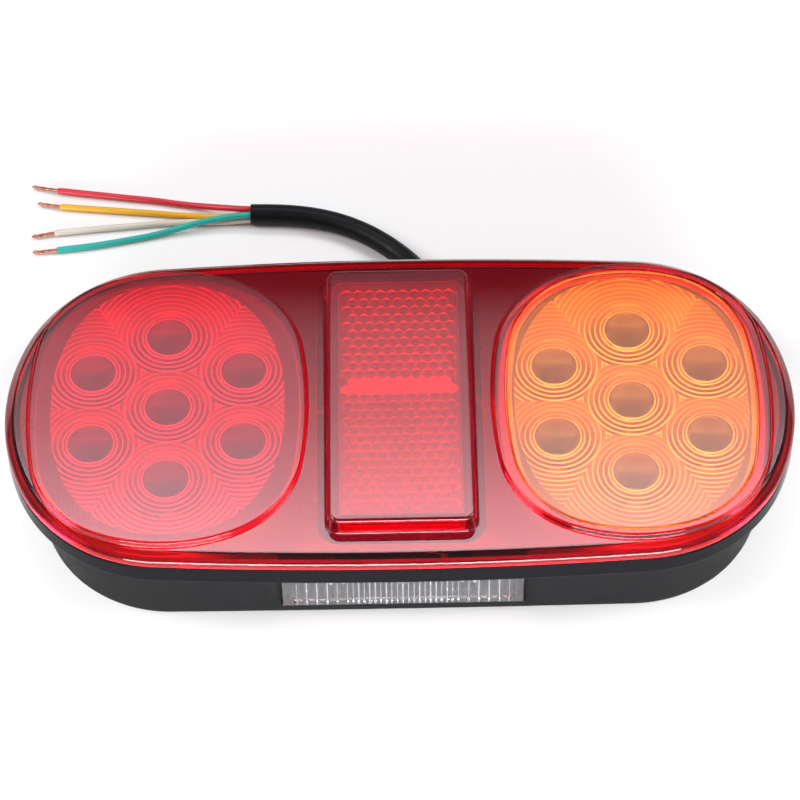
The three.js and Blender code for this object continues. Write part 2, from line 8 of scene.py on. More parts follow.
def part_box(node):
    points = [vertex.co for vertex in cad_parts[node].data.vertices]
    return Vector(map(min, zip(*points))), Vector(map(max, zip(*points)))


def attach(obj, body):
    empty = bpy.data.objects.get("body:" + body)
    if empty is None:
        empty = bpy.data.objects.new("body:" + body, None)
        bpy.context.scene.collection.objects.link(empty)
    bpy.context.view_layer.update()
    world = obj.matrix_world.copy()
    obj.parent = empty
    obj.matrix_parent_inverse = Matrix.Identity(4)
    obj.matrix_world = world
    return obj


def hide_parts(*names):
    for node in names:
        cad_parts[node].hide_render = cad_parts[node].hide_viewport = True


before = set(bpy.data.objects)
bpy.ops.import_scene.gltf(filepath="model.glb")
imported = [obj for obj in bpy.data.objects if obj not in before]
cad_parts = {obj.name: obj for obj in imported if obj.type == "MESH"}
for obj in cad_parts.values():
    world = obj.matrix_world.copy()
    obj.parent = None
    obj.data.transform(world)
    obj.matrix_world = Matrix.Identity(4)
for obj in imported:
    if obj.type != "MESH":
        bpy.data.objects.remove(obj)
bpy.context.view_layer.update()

MM = 0.001


def node_box(name):
    low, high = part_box(name)
    return low / MM, high / MM


def middle(name):
    low, high = node_box(name)
    return (low + high) / 2


# ---- driving dimensions, taken from the frame where it has them ----

lens_low, lens_high = node_box("red_lens_cover")
_, housing_high = node_box("rear_housing")
_, amber_high = node_box("amber_lens_insert")
tray_low, tray_high = node_box("left_reflector_tray")
prism_low, prism_high = node_box("reflex_prism_plate")
cap_low, cap_high = node_box("reflex_backing_cap")
plate_low, plate_high = node_box("plate_lamp_lens")
seal_low, seal_high = node_box("lens_seal")

WINDOW_X = middle("right_reflector_tray").x
WINDOW_HEIGHT = 1.5
SKIN = 2.3
VALLEY_TOP = 31.4  # the cover's flat face, below its windows and its block
LENS_BOTTOM = lens_low.z
LENS_WALL = 2.4
SHOULDER_WIDTH = 2.8
SHOULDER_SLOPE = 43  # degrees from level
FOOT_ROUND = 1.9
TOP_ROUND = 1.0
WINDOW_TOP = VALLEY_TOP + WINDOW_HEIGHT
BLOCK_TOP = lens_high.z
VALLEY_UNDER = VALLEY_TOP - SKIN
WINDOW_UNDER = WINDOW_TOP - SKIN
AMBER_TOP = amber_high.z

FLOOR_TOP = 2.6
BACK_RECESS = 0.8
FLANGE_BOTTOM = 21.6
LEDGE_TOP = 24.0
FLANGE_TOP = housing_high.z
BODY_WALL = 2.4
FLANGE_WALL = 2.6

LED_SPACING = 22.3
BOARD_SCREW_X, BOARD_SCREW_Y = 18, 26  # from a window's middle
SIDES = (("left", -1), ("right", 1))
EXIT = Vector((8.0, 42.3, 8.0))
CABLE_DIAMETER = 5.7
WIRE_DIAMETER = 1.75


# ---- outlines ----


def arc(cx, cy, radius, start, end, steps):
    """Points of an arc, without its last one."""
    angles = [start + (end - start) * i / steps for i in range(steps)]
    return [(cx + radius * math.cos(t), cy + radius * math.sin(t)) for t in angles]


def circle(cx, cy, radius, steps=48):
    return arc(cx, cy, radius, 0, 2 * math.pi, steps)


END_STEPS, CORNER_STEPS, LONG_STEPS = 14, 22, 12


class Plan:
    """A symmetrical outline. Each quarter is three arcs: the end, the corner and the long side."""

    def __init__(self, a, b, long_radius, end_radius, corner_radius, x=0.0):
        self.a, self.b, self.x = a, b, x
        self.radii = (long_radius, end_radius, corner_radius)

    def inset(self, distance):
        shrunk = [radius - distance for radius in self.radii]
        return Plan(self.a - distance, self.b - distance, *shrunk, x=self.x)

    def corner_centre(self):
        long_radius, end_radius, corner_radius = self.radii
        long_centre = Vector((0, self.b - long_radius))
        end_centre = Vector((self.a - end_radius, 0))
        span = end_centre - long_centre
        reach = long_radius - corner_radius
        along = (reach**2 - (end_radius - corner_radius) ** 2 + span.length_squared) / (2 * span.length)
        aside = math.sqrt(reach**2 - along**2)
        unit = span.normalized()
        foot = long_centre + unit * along
        sides = [foot + Vector((unit.y, -unit.x)) * aside * sign for sign in (1, -1)]
        return max(sides, key=lambda p: p.x + p.y)

    def points(self):
        long_radius, end_radius, corner_radius = self.radii
        centre = self.corner_centre()
        end_x, long_y = self.a - end_radius, self.b - long_radius
        end_angle = math.atan2(centre.y, centre.x - end_x)
        long_angle = math.atan2(centre.y - long_y, centre.x)
        quarter = [
            *arc(end_x, 0, end_radius, 0, end_angle, END_STEPS),
            *arc(centre.x, centre.y, corner_radius, end_angle, long_angle, CORNER_STEPS),
            *arc(0, long_y, long_radius, long_angle, math.pi / 2, LONG_STEPS),
        ]
        inner = quarter[1:]
        outline = [
            *quarter,
            (0, self.b),
            *[(-x, y) for x, y in reversed(inner)],
            (-self.a, 0),
            *[(-x, -y) for x, y in inner],
            (0, -self.b),
            *[(x, -y) for x, y in reversed(inner)],
        ]
        return [(x + self.x, y) for x, y in outline]


class Rectangle:
    """A rectangle with round corners."""

    def __init__(self, a, b, corner, x=0.0, y=0.0):
        self.a, self.b, self.corner, self.x, self.y = a, b, corner, x, y

    def inset(self, distance):
        corner = max(0.05, self.corner - distance)
        return Rectangle(self.a - distance, self.b - distance, corner, self.x, self.y)

    def points(self, steps=10):
        a, b = self.a - self.corner, self.b - self.corner
        centres = [(a, b), (-a, b), (-a, -b), (a, -b)]
        outline = []
        for turn, (cx, cy) in enumerate(centres):
            start = turn * math.pi / 2
            end = start + math.pi / 2
            outline += arc(cx + self.x, cy + self.y, self.corner, start, end, steps)
            outline += arc(cx + self.x, cy + self.y, self.corner, end, 0, 1)
        return outline


LENS_PLAN = Plan(lens_high.x, lens_high.y, 1000, 56, 40)
BODY_PLAN = Plan(94.4, 42.3, 6000, 52, 34)
WINDOW_PLAN = Plan(35.5, 43.1, 46, 120, 28)
AMBER_PLAN = Plan(32.2, 41.2, 44, 116, 26)
TRAY_PLAN = Plan((tray_high.x - tray_low.x) / 2, tray_high.y, 45, 118, 27)
BLOCK = Rectangle(18.6, 39.8, 3.2)


def at_window(plan, side):
    return Plan(plan.a, plan.b, *plan.radii, x=side * WINDOW_X)


LED_PLACES = [(0.0, 0.0), *arc(0, 0, LED_SPACING, math.pi / 2, math.pi * 5 / 2, 6)]


# ---- mesh helpers ----


ON_AXIS = 1e-4
SAME_POINT = 1e-8  # metres
SAME_HEIGHT = 1e-7  # metres


class Shell:
    """A closed surface made of loops: strips between loops, and flat fills bounded by loops."""

    def __init__(self):
        self.mesh = bmesh.new()

    def vert(self, x, y, z):
        return self.mesh.verts.new((x * MM, y * MM, z * MM))

    def loop(self, outline, z):
        return [self.vert(x, y, z) for x, y in outline]

    def strip(self, first, second, material=0):
        for i in range(len(first)):
            j = (i + 1) % len(first)
            face = self.mesh.faces.new((first[i], first[j], second[j], second[i]))
            face.material_index = material

    def loft(self, outlines, material=0, start=None):
        """Joins outlines, given as (points, height), and returns the first and the last loop."""
        remaining = list(outlines)
        first = start or self.loop(*remaining.pop(0))
        last = first
        for points, z in remaining:
            following = self.loop(points, z)
            self.strip(last, following, material)
            last = following
        return first, last

    def rise(self, plan, profile, material=0, start=None):
        """Lofts one plan along a profile of (inset, height)."""
        return self.loft([(plan.inset(d).points(), z) for d, z in profile], material, start)

    def turn(self, cx, cy, profile, steps=48):
        """Lofts circles about an upright axis along a profile of (radius, height)."""
        return self.loft([(circle(cx, cy, radius, steps), z) for radius, z in profile])

    def level_rim(self, known, z, material=0):
        """Upright faces from the open edges between known vertices to the height z, where needed.
        Returns the rim's edges at that height."""
        rim = [e for e in self.mesh.edges if len(e.link_faces) == 1 and set(e.verts) <= known]
        level = {}
        for v in (v for edge in rim for v in edge.verts):
            if v not in level:
                there = abs(v.co.z - z * MM) < SAME_HEIGHT
                level[v] = v if there else self.mesh.verts.new((v.co.x, v.co.y, z * MM))
        edges = []
        for edge in rim:
            a, b = edge.verts
            if level[a] == a and level[b] == b:
                edges.append(edge)
                continue
            face = self.mesh.faces.new(list(dict.fromkeys((a, b, level[b], level[a]))))
            face.material_index = material
            edges.append(self.mesh.edges.get((level[a], level[b])))
        return edges

    def fill(self, *loops, material=0, extra_edges=()):
        """Fills the flat area between the loops."""
        edges = list(extra_edges)
        for loop in loops:
            for a, b in zip(loop, [*loop[1:], loop[0]]):
                edges.append(self.mesh.edges.get((a, b)) or self.mesh.edges.new((a, b)))
        made = bmesh.ops.triangle_fill(self.mesh, use_beauty=True, use_dissolve=False, edges=edges)
        for item in made["geom"]:
            if isinstance(item, bmesh.types.BMFace):
                item.material_index = material

    def object(self, name, sharp=32, materials=()):
        """Makes the mesh an object, with edges above the sharp angle left sharp."""
        bmesh.ops.recalc_face_normals(self.mesh, faces=self.mesh.faces)
        data = bpy.data.meshes.new(name)
        self.mesh.to_mesh(data)
        self.mesh.free()
        for polygon in data.polygons:
            polygon.use_smooth = True
        data.set_sharp_from_angle(angle=math.radians(sharp))
        for material in materials:
            data.materials.append(material)
        return link_object(name, data)


def link_object(name, data):
    made = bpy.data.objects.new(name, data)
    bpy.context.scene.collection.objects.link(made)
    return made


def fillet(d, z, radius_d, radius_z, start, end, steps=6):
    """Points of an elliptic arc in (inset, height), angles in degrees."""
    angles = [math.radians(start + (end - start) * i / steps) for i in range(steps + 1)]
    return [(d + radius_d * math.cos(t), z + radius_z * math.sin(t)) for t in angles]


def turned(name, centre, axis, profile, materials, steps=48, sharp=32):
    """A closed solid of revolution. The profile of (radius, height along axis) either starts and ends
    on the axis or comes back to its own start."""
    shell = Shell()
    shell.turn(0, 0, [(max(radius, ON_AXIS), z) for radius, z in profile], steps)
    reach = SAME_POINT if profile[0] == profile[-1] else 10 * ON_AXIS * MM
    bmesh.ops.remove_doubles(shell.mesh, verts=shell.mesh.verts, dist=reach)
    turn = Vector((0, 0, 1)).rotation_difference(Vector(axis)).to_matrix().to_4x4()
    shell.mesh.transform(Matrix.Translation(Vector(centre) * MM) @ turn)
    return shell.object(name, sharp, materials)


def stands_for(piece, node):
    """Puts the piece on the lamp's one body, in place of a CAD node."""
    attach(piece, "root")
    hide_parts(node)
    return piece


# ---- materials ----


def nodes_of(material):
    material.use_nodes = True
    tree = material.node_tree
    return tree, tree.nodes["Principled BSDF"], tree.nodes["Material Output"]


def set_inputs(tree, node, **inputs):
    """Gives each named input a value, or links it to another node's output."""
    for name, value in inputs.items():
        socket = node.inputs[name.replace("_", " ")]
        if isinstance(value, bpy.types.NodeSocket):
            tree.links.new(value, socket)
        else:
            socket.default_value = value
    return node


def add_node(tree, kind, **inputs):
    return set_inputs(tree, tree.nodes.new("ShaderNode" + kind), **inputs)


def object_place(tree):
    return add_node(tree, "TexCoord").outputs["Object"]


def noise(tree, scale, detail=3.0):
    """Noise in object space; scale is in features per millimetre."""
    place = add_node(tree, "Mapping", Scale=(1 / MM, 1 / MM, 1 / MM), Vector=object_place(tree))
    made = add_node(tree, "TexNoise", Scale=scale, Detail=detail, Vector=place.outputs["Vector"])
    return made.outputs["Fac"]


def spread(tree, value, low, high):
    """Maps noise to the span from low to high."""
    made = add_node(tree, "MapRange", From_Min=0.3, From_Max=0.7, To_Min=low, To_Max=high, Value=value)
    return made.outputs["Result"]


def blend_colours(tree, factor, first, second):
    mix = tree.nodes.new("ShaderNodeMix")
    mix.data_type = "RGBA"
    mix.inputs["A"].default_value = (*first, 1)
    mix.inputs["B"].default_value = (*second, 1)
    tree.links.new(factor, mix.inputs["Factor"])
    return mix.outputs["Result"]


def mix_shaders(tree, share, first, second):
    """A mix of two shaders; share is the second one's part."""
    made = add_node(tree, "MixShader", Fac=share)
    tree.links.new(first, made.inputs[1])
    tree.links.new(second, made.inputs[2])
    return made.outputs["Shader"]


def bumps(tree, height, depth):
    """Depth is in millimetres."""
    return add_node(tree, "Bump", Distance=depth * MM, Height=height).outputs["Normal"]


def solid_material(
    name, colour, second, roughness,
    metallic=0.0, patch=0.15, grain=4.0, bump=0.01, coat=0.0, specular=0.5,
):
    """Moulded, rubbed or drawn material: two close colours in soft patches, uneven gloss and fine
    grain."""
    material = bpy.data.materials.new(name)
    tree, shader, _ = nodes_of(material)
    set_inputs(
        tree, shader,
        Metallic=metallic, Specular_IOR_Level=specular,
        Base_Color=blend_colours(tree, noise(tree, patch, 4), colour, second),
        Roughness=spread(tree, noise(tree, patch * 3, 5), *roughness),
        Normal=bumps(tree, noise(tree, grain, 2), bump),
    )
    if coat:
        set_inputs(tree, shader, Coat_Weight=coat, Coat_Roughness=0.12)
    return material


PAINTED_SHADE_REACH = 40 * MM  # from the piece's middle, the reach of the painted shade fade


def clear_material(name, colour, roughness, shadow, haze_and_painted_light=0.0, haze_and_painted_light_colour=(1, 1, 1), painted_shade_fade=None):
    """Clear moulded plastic. Light for the parts inside passes straight through it, tinted. The
    haze and painted light share is a diffuse part in its own colour: a little real haze on some
    pieces, and on most of them painted highlight, painted reflection and painted shade. The painted
    shade fade gives that share at the plate-lamp side and at the cable side of the piece, to paint
    one side darker."""
    material = bpy.data.materials.new(name)
    tree, shader, output = nodes_of(material)
    set_inputs(
        tree, shader,
        Base_Color=(*colour, 1), IOR=1.49, Transmission_Weight=1.0,
        Roughness=spread(tree, noise(tree, 0.08, 4), *roughness),
        Normal=bumps(tree, noise(tree, 0.12, 2), 0.004),
    )
    surface = shader.outputs["BSDF"]
    if haze_and_painted_light:
        deeper = [c * 0.86 for c in haze_and_painted_light_colour]
        tint = blend_colours(tree, noise(tree, 0.10, 3), haze_and_painted_light_colour, deeper)
        haze_and_painted_light_shader = add_node(tree, "BsdfDiffuse", Color=tint)
        share = haze_and_painted_light
        if painted_shade_fade:
            parts = add_node(tree, "SeparateXYZ", Vector=object_place(tree))
            share = add_node(
                tree, "MapRange", From_Min=-PAINTED_SHADE_REACH, From_Max=PAINTED_SHADE_REACH,
                To_Min=painted_shade_fade[0], To_Max=painted_shade_fade[1], Value=parts.outputs["Y"],
            ).outputs["Result"]
        surface = mix_shaders(tree, share, surface, haze_and_painted_light_shader.outputs["BSDF"])
    through = add_node(tree, "BsdfTransparent", Color=(*shadow, 1))
    is_shadow = add_node(tree, "LightPath").outputs["Is Shadow Ray"]
    final = mix_shaders(tree, is_shadow, surface, through.outputs["BSDF"])
    set_inputs(tree, output, Surface=final)
    return material


GLOSSY, SLEEK, SOFT, MATT = (0.02, 0.05), (0.04, 0.08), (0.08, 0.14), (0.30, 0.40)
RED_CLEAR = clear_material("red_acrylic", (0.78, 0.014, 0.045), GLOSSY, (0.93, 0.20, 0.27))
# Window and block tops: the grey-pink haze is painted reflection of the room.
RED_FACE = clear_material(
    "red_acrylic_face", (0.80, 0.020, 0.055), GLOSSY, (0.93, 0.22, 0.29), 0.06, (0.5, 0.3, 0.36)
)
# Disc centres, flat underside and the band round the block: a darker copy of the red with grey haze,
# painted shade and painted reflection.
RED_PLAIN = clear_material(
    "red_acrylic_plain", (0.24, 0.024, 0.055), SLEEK, (0.80, 0.22, 0.29), 0.34, (0.22, 0.10, 0.15)
)
# Prism faces: a darker copy of the red is painted shade, a lighter matt copy is painted glint.
PRISM_SHADED = clear_material(
    "red_prism_painted_shade", (0.50, 0.05, 0.10), (0.05, 0.10), (0.80, 0.22, 0.29), 0.50, (0.30, 0.16, 0.24)
)
PRISM_GLINT = clear_material(
    "red_prism_painted_glint", (1.0, 0.10, 0.20), MATT, (0.97, 0.30, 0.40), 0.85, (1.0, 0.32, 0.52)
)
# Ring risers: a light matt copy of the red, painted highlight lines on the rings.
RED_STEP_HIGHLIGHT = clear_material(
    "red_acrylic_step_highlight", (1.0, 0.07, 0.15), MATT, (0.97, 0.30, 0.40), 0.85, (1.0, 0.24, 0.40)
)
RED_RING = clear_material(
    "red_acrylic_ring", (0.70, 0.030, 0.085), SOFT, (0.95, 0.26, 0.35), 0.10, (0.7, 0.06, 0.13)
)
# Matt valley underside: its red haze is painted light from inside the lamp, fading to painted shade
# towards the cable side.
RED_SATIN_PAINTED_LIGHT = clear_material(
    "red_acrylic_satin_painted_light", (0.70, 0.022, 0.055), (0.26, 0.38), (0.80, 0.12, 0.16),
    haze_and_painted_light=0.30, haze_and_painted_light_colour=(0.78, 0.03, 0.095), painted_shade_fade=(0.30, 0.04),
)
# Amber face: the greyish haze is painted reflection of the room.
AMBER_CLEAR = clear_material(
    "amber_acrylic", (1.0, 0.45, 0.10), GLOSSY, (1.0, 0.62, 0.30), 0.05, (0.62, 0.42, 0.36)
)
# Amber disc centres and flat border: a darker copy of the amber with dark haze, painted shade.
AMBER_PLAIN = clear_material(
    "amber_acrylic_plain", (0.38, 0.21, 0.10), SLEEK, (0.88, 0.56, 0.32), 0.34, (0.20, 0.13, 0.07)
)
# Amber ring risers: a light matt copy of the amber, painted highlight lines on the rings.
AMBER_STEP_HIGHLIGHT = clear_material(
    "amber_acrylic_step_highlight", (1.0, 0.66, 0.26), MATT, (1.0, 0.76, 0.44), 0.85, (1.0, 0.62, 0.24)
)
AMBER_RING = clear_material(
    "amber_acrylic_ring", (0.92, 0.42, 0.11), SOFT, (1.0, 0.66, 0.34), 0.12, (0.8, 0.26, 0.07)
)
CLEAR = clear_material(
    "clear_acrylic", (0.56, 0.56, 0.58), (0.03, 0.07), (0.85, 0.85, 0.86), 0.08, (0.40, 0.40, 0.42)
)
# Grooves between the plate lens's flutes: a whiter matt copy of the clear acrylic, painted highlight
# lines.
FLUTE_GROOVE_HIGHLIGHT = clear_material(
    "clear_acrylic_groove_highlight", (0.95, 0.95, 0.97), (0.2, 0.3), (0.92, 0.92, 0.93), 0.60, (0.48, 0.48, 0.50)
)
BLACK_ABS = solid_material(
    "black_abs", (0.009, 0.009, 0.010), (0.013, 0.013, 0.014), (0.34, 0.46),
    bump=0.014, specular=0.06,
)
BLACK_GLOSS = solid_material(
    "black_abs_gloss", (0.005, 0.005, 0.006), (0.007, 0.007, 0.009), (0.12, 0.20),
    bump=0.004, specular=0.04,
)
SILVER = solid_material(
    "metallised_plastic", (0.74, 0.73, 0.73), (0.64, 0.63, 0.64), (0.36, 0.44),
    metallic=1.0, grain=0.6, bump=0.004,
)
PRISM_BACK = solid_material("dark_red_plastic", (0.34, 0.13, 0.15), (0.28, 0.10, 0.12), (0.35, 0.5))
BOARD = solid_material(
    "circuit_board", (0.66, 0.66, 0.64), (0.55, 0.56, 0.55), (0.35, 0.5), grain=2.0
)
LED_RESIN = solid_material(
    "led_resin", (0.85, 0.83, 0.74), (0.75, 0.72, 0.60), (0.10, 0.18), coat=0.6
)
RESISTOR = solid_material("resistor_coating", (0.20, 0.32, 0.50), (0.15, 0.25, 0.42), (0.3, 0.45))
STEEL = solid_material(
    "screw_steel", (0.55, 0.56, 0.58), (0.45, 0.46, 0.47), (0.25, 0.4), metallic=1.0
)
BRASS = solid_material("brass", (0.72, 0.50, 0.20), (0.60, 0.40, 0.15), (0.25, 0.42), metallic=1.0)
RUBBER = solid_material(
    "rubber_seal", (0.010, 0.010, 0.011), (0.015, 0.015, 0.016), (0.55, 0.7),
    bump=0.02, specular=0.3,
)
SHEATH = solid_material(
    "cable_rubber", (0.004, 0.004, 0.005), (0.006, 0.006, 0.008), (0.38, 0.5),
    grain=2.5, bump=0.012, specular=0.16,
)
NYLON = solid_material("nylon", (0.72, 0.70, 0.64), (0.62, 0.60, 0.54), (0.35, 0.5))
COPPER = solid_material(
    "copper_strand", (0.72, 0.32, 0.22), (0.42, 0.16, 0.10), (0.22, 0.40),
    metallic=1.0, patch=1.2, grain=8,
)
WIRE_COLOURS = {
    "red": ((0.66, 0.022, 0.045), (0.56, 0.016, 0.035)),
    "yellow": ((0.78, 0.42, 0.012), (0.70, 0.36, 0.010)),
    "white": ((0.68, 0.62, 0.55), (0.60, 0.54, 0.47)),
    "green": ((0.022, 0.44, 0.37), (0.016, 0.36, 0.30)),
}
WIRE_PVC = {
    name: solid_material(f"wire_{name}_pvc", first, second, (0.28, 0.40), grain=3.0, bump=0.006)
    for name, (first, second) in WIRE_COLOURS.items()
}


# ---- camera ----

CAMERA_TARGET = Vector((0.18, 20.15, 5.2))
CAMERA_DISTANCE = 959.0
CAMERA_AZIMUTH = math.radians(-0.19)
CAMERA_ELEVATION = math.radians(53.72)
CAMERA_ROLL = math.radians(-0.89)
CAMERA_LENS = 163.6

camera_data = bpy.data.cameras.new("camera")
camera_data.lens = CAMERA_LENS
camera_data.clip_start = 0.05
camera_data.clip_end = 20
camera = link_object("camera", camera_data)
towards_camera = Vector((
    math.sin(CAMERA_AZIMUTH) * math.cos(CAMERA_ELEVATION),
    -math.cos(CAMERA_AZIMUTH) * math.cos(CAMERA_ELEVATION),
    math.sin(CAMERA_ELEVATION),
))
camera.location = (CAMERA_TARGET + towards_camera * CAMERA_DISTANCE) * MM
camera.rotation_mode = "QUATERNION"
level_view = (-towards_camera).to_track_quat("-Z", "Y")
camera.rotation_quaternion = level_view @ Quaternion((0, 0, 1), CAMERA_ROLL)
bpy.context.scene.camera = camera


# ---- lead ----

SHEATH_ROUTE = [
    (8, 33.5, 8), (8, 38, 8), (8, 43, 8), (8, 48, 8), (8, 52, 7.9), (7.8, 56, 7.2), (7.1, 60, 5.9),
    (5.6, 64.2, 4.5), (3.1, 68.2, 3.4), (-0.3, 72.1, 2.95), (-4, 75.4, 2.88), (-8.6, 78.7, 2.86),
    (-14, 81.6, 2.86), (-20.3, 83.9, 2.86), (-27, 85.3, 2.86), (-33.5, 85.9, 2.86), (-39.8, 86.1, 2.86),
]
WIRE_ROUTES = {
    "red": [
        (-40.4, 87.13, 3.9), (-44, 87.8, 3.45), (-48, 88.9, 2.6), (-52, 90.1, 1.7), (-56, 91.1, 1.1),
        (-60, 91.9, 0.92), (-66.5, 93.2, 0.9), (-73, 94.2, 0.9), (-80, 95.3, 0.9), (-87, 96.4, 0.9),
        (-93.3, 97.4, 0.9),
    ],
    "yellow": [
        (-40.4, 87.13, 1.82), (-43, 87.05, 1.5), (-46, 86.95, 1.05), (-50, 86.95, 0.9), (-55, 87.3, 0.9),
        (-60, 87.85, 0.9), (-66, 88.6, 0.9), (-73, 89.4, 0.9), (-80, 90.2, 0.9), (-86.5, 90.9, 0.9),
        (-92.5, 91.6, 0.9),
    ],
    "white": [
        (-40.4, 85.05, 1.82), (-43, 85.05, 1.5), (-46, 85.1, 1.05), (-50, 85.2, 0.9), (-55, 85.3, 0.9),
        (-60, 85.25, 0.9), (-66, 84.9, 0.9), (-73, 84.3, 0.9), (-80, 83.7, 0.9), (-87, 83, 0.9),
        (-93.8, 82.3, 0.9),
    ],
    "green": [
        (-40.4, 85.05, 3.9), (-44, 84.9, 3.7), (-48, 84.6, 3.3), (-52, 84.1, 2.85), (-56, 83.3, 2.35),
        (-60, 82.4, 1.7), (-64, 81.5, 1.15), (-68, 80.6, 0.92), (-75, 79.1, 0.9), (-83, 77.6, 0.9),
        (-92.8, 76.3, 0.9),
    ],
}
COPPER_ENDS = {
    "red": (-100.6, 99, 0.75),
    "yellow": (-98.8, 92.9, 0.75),
    "white": (-100, 81.2, 0.75),
    "green": (-99.5, 75.7, 0.75),
}
INNER_ROUTES = {
    "red": [(6.2, 31.5, 9.2), (2, 27, 9), (-8, 20, 8), (-20, 13, 10), (-29, 7, 13.6), (-34, 5, 12.6)],
    "green": [(6.2, 31.5, 6.8), (1, 26, 6), (-9, 15, 5.4), (-20, 5, 8), (-29, -3, 13.2), (-34, -5, 12.6)],
    "yellow": [(9.8, 31.5, 9.2), (13, 26, 9), (19, 18, 9.4), (25, 9, 12), (30, 3, 13.8), (34, 0, 12.6)],
    "white": [(9.8, 31.5, 6.8), (12, 25, 6), (12, 10, 5), (9, -10, 5), (6, -24, 6), (4, -31, 8)],
}
STEPS_PER_POINT = 8
INSIDE_SHEATH = 1.6  # how far the cores carry on into the sheath's cut end
STRANDS = 7
STRAND_DIAMETER = 0.34
STRAND_SPACING = 0.36
STRAND_TURNS = 1.5
STRAND_POINTS = 26


def smooth_route(route):
    """Points of a centripetal Catmull-Rom curve through the route."""
    points = [Vector(p) for p in route]
    padded = [2 * points[0] - points[1], *points, 2 * points[-1] - points[-2]]
    curve = []
    for p0, p1, p2, p3 in zip(padded, padded[1:], padded[2:], padded[3:]):
        t1 = (p1 - p0).length ** 0.5
        t2 = t1 + (p2 - p1).length ** 0.5
        t3 = t2 + (p3 - p2).length ** 0.5
        for i in range(STEPS_PER_POINT):
            t = t1 + (t2 - t1) * i / STEPS_PER_POINT
            a1 = p0 * (t1 - t) / t1 + p1 * t / t1
            a2 = p1 * (t2 - t) / (t2 - t1) + p2 * (t - t1) / (t2 - t1)
            a3 = p2 * (t3 - t) / (t3 - t2) + p3 * (t - t2) / (t3 - t2)
            b1 = a1 * (t2 - t) / t2 + a2 * t / t2
            b2 = a2 * (t3 - t) / (t3 - t1) + a3 * (t - t1) / (t3 - t1)
            curve.append(b1 * (t2 - t) / (t2 - t1) + b2 * (t - t1) / (t2 - t1))
    return [*curve, points[-1]]


def new_curve(name, diameter, resolution):
    curve = bpy.data.curves.new(name, "CURVE")
    curve.dimensions = "3D"
    curve.bevel_depth = diameter / 2 * MM
    curve.bevel_resolution = resolution
    curve.use_fill_caps = True
    return curve


def add_spline(curve, points):
    spline = curve.splines.new("POLY")
    spline.points.add(len(points) - 1)
    for target, p in zip(spline.points, points):
        target.co = (*(p * MM), 1)
    spline.use_smooth = True


def tube(name, route, diameter, material, resolution=6):
    curve = new_curve(name, diameter, resolution)
    add_spline(curve, smooth_route(route))
    curve.materials.append(material)
    return link_object(name, curve)


def copper_strands(name, start, end):
    """Bare strands, twisted together and slightly splayed at the cut."""
    along = end - start
    side = along.cross(Vector((0, 0, 1))).normalized()
    up = side.cross(along).normalized()
    curve = new_curve(name, STRAND_DIAMETER, 3)
    for strand in range(STRANDS):
        ring = STRAND_SPACING if strand else 0.0
        phase = strand * 2 * math.pi / (STRANDS - 1)
        reach = 1.0 - 0.05 * (strand * 3 % 5)
        points = []
        for i in range(STRAND_POINTS):
            t = i / (STRAND_POINTS - 1)
            splay = 1 + 0.35 * max(0.0, t - 0.75) / 0.25
            radius = ring * splay * (1 + 0.1 * math.sin(strand + 9 * t))
            angle = phase + 2 * math.pi * STRAND_TURNS * t
            across = side * radius * math.cos(angle) + up * radius * math.sin(angle)
            points.append(start + along * t * reach + across)
        add_spline(curve, points)
    curve.materials.append(COPPER)
    return link_object(name, curve)


def make_grommet():
    """Rubber grommet: inner lip, neck through the wall, collar, and a ribbed boot that tapers along
    the cable."""
    bore = CABLE_DIAMETER / 2 + 0.02
    inside = -BODY_WALL - 0.3
    ribs = []
    for i in range(4):
        y = 3.4 + i * 1.45
        outer = 5.0 - 0.125 * (y - 2.6)
        ribs += [(outer, y), (outer - 0.35, y + 0.25), (outer - 0.4, y + 0.7), (outer - 0.12, y + 1.0)]
    lip = [
        (bore, inside - 1.6), (4.6, inside - 1.6), (4.9, inside - 1.45), (5.0, inside - 1.2),
        (5, inside), (4.4, inside), (4.4, 0.3),
    ]
    collar = [
        (6.1, 0.3), (6.35, 0.4), (6.4, 0.6), (6.4, 1.6), (6.3, 1.95), (6.0, 2.25), (5.5, 2.45),
        (5.1, 2.6),
    ]
    mouth = [(4.05, 9.2), (3.9, 9.38), (3.6, 9.4), (bore + 0.2, 9.4), (bore, 9.2), (bore, inside - 1.6)]
    return turned("grommet", EXIT, (0, 1, 0), [*lip, *collar, *ribs, *mouth], [RUBBER], steps=64)


grommet = stands_for(make_grommet(), "cable_grommet")
sheath = tube("sheath", SHEATH_ROUTE, CABLE_DIAMETER, SHEATH, 12)
stands_for(sheath, "cable_sheath")
for core, visible_route in WIRE_ROUTES.items():
    _, y, z = visible_route[0]
    route = [(SHEATH_ROUTE[-1][0] + INSIDE_SHEATH, y, z), *visible_route]
    wire = tube(f"core_{core}", route, WIRE_DIAMETER, WIRE_PVC[core])
    stands_for(wire, f"wire_{core}")
    bare = copper_strands(f"strands_{core}", Vector(route[-1]), Vector(COPPER_ENDS[core]))
    stands_for(bare, f"copper_end_{core}")
for core, route in INNER_ROUTES.items():
    wire = tube(f"inner_core_{core}", route, WIRE_DIAMETER, WIRE_PVC[core])
    stands_for(wire, f"inner_wire_{core}")


# ---- rear housing ----


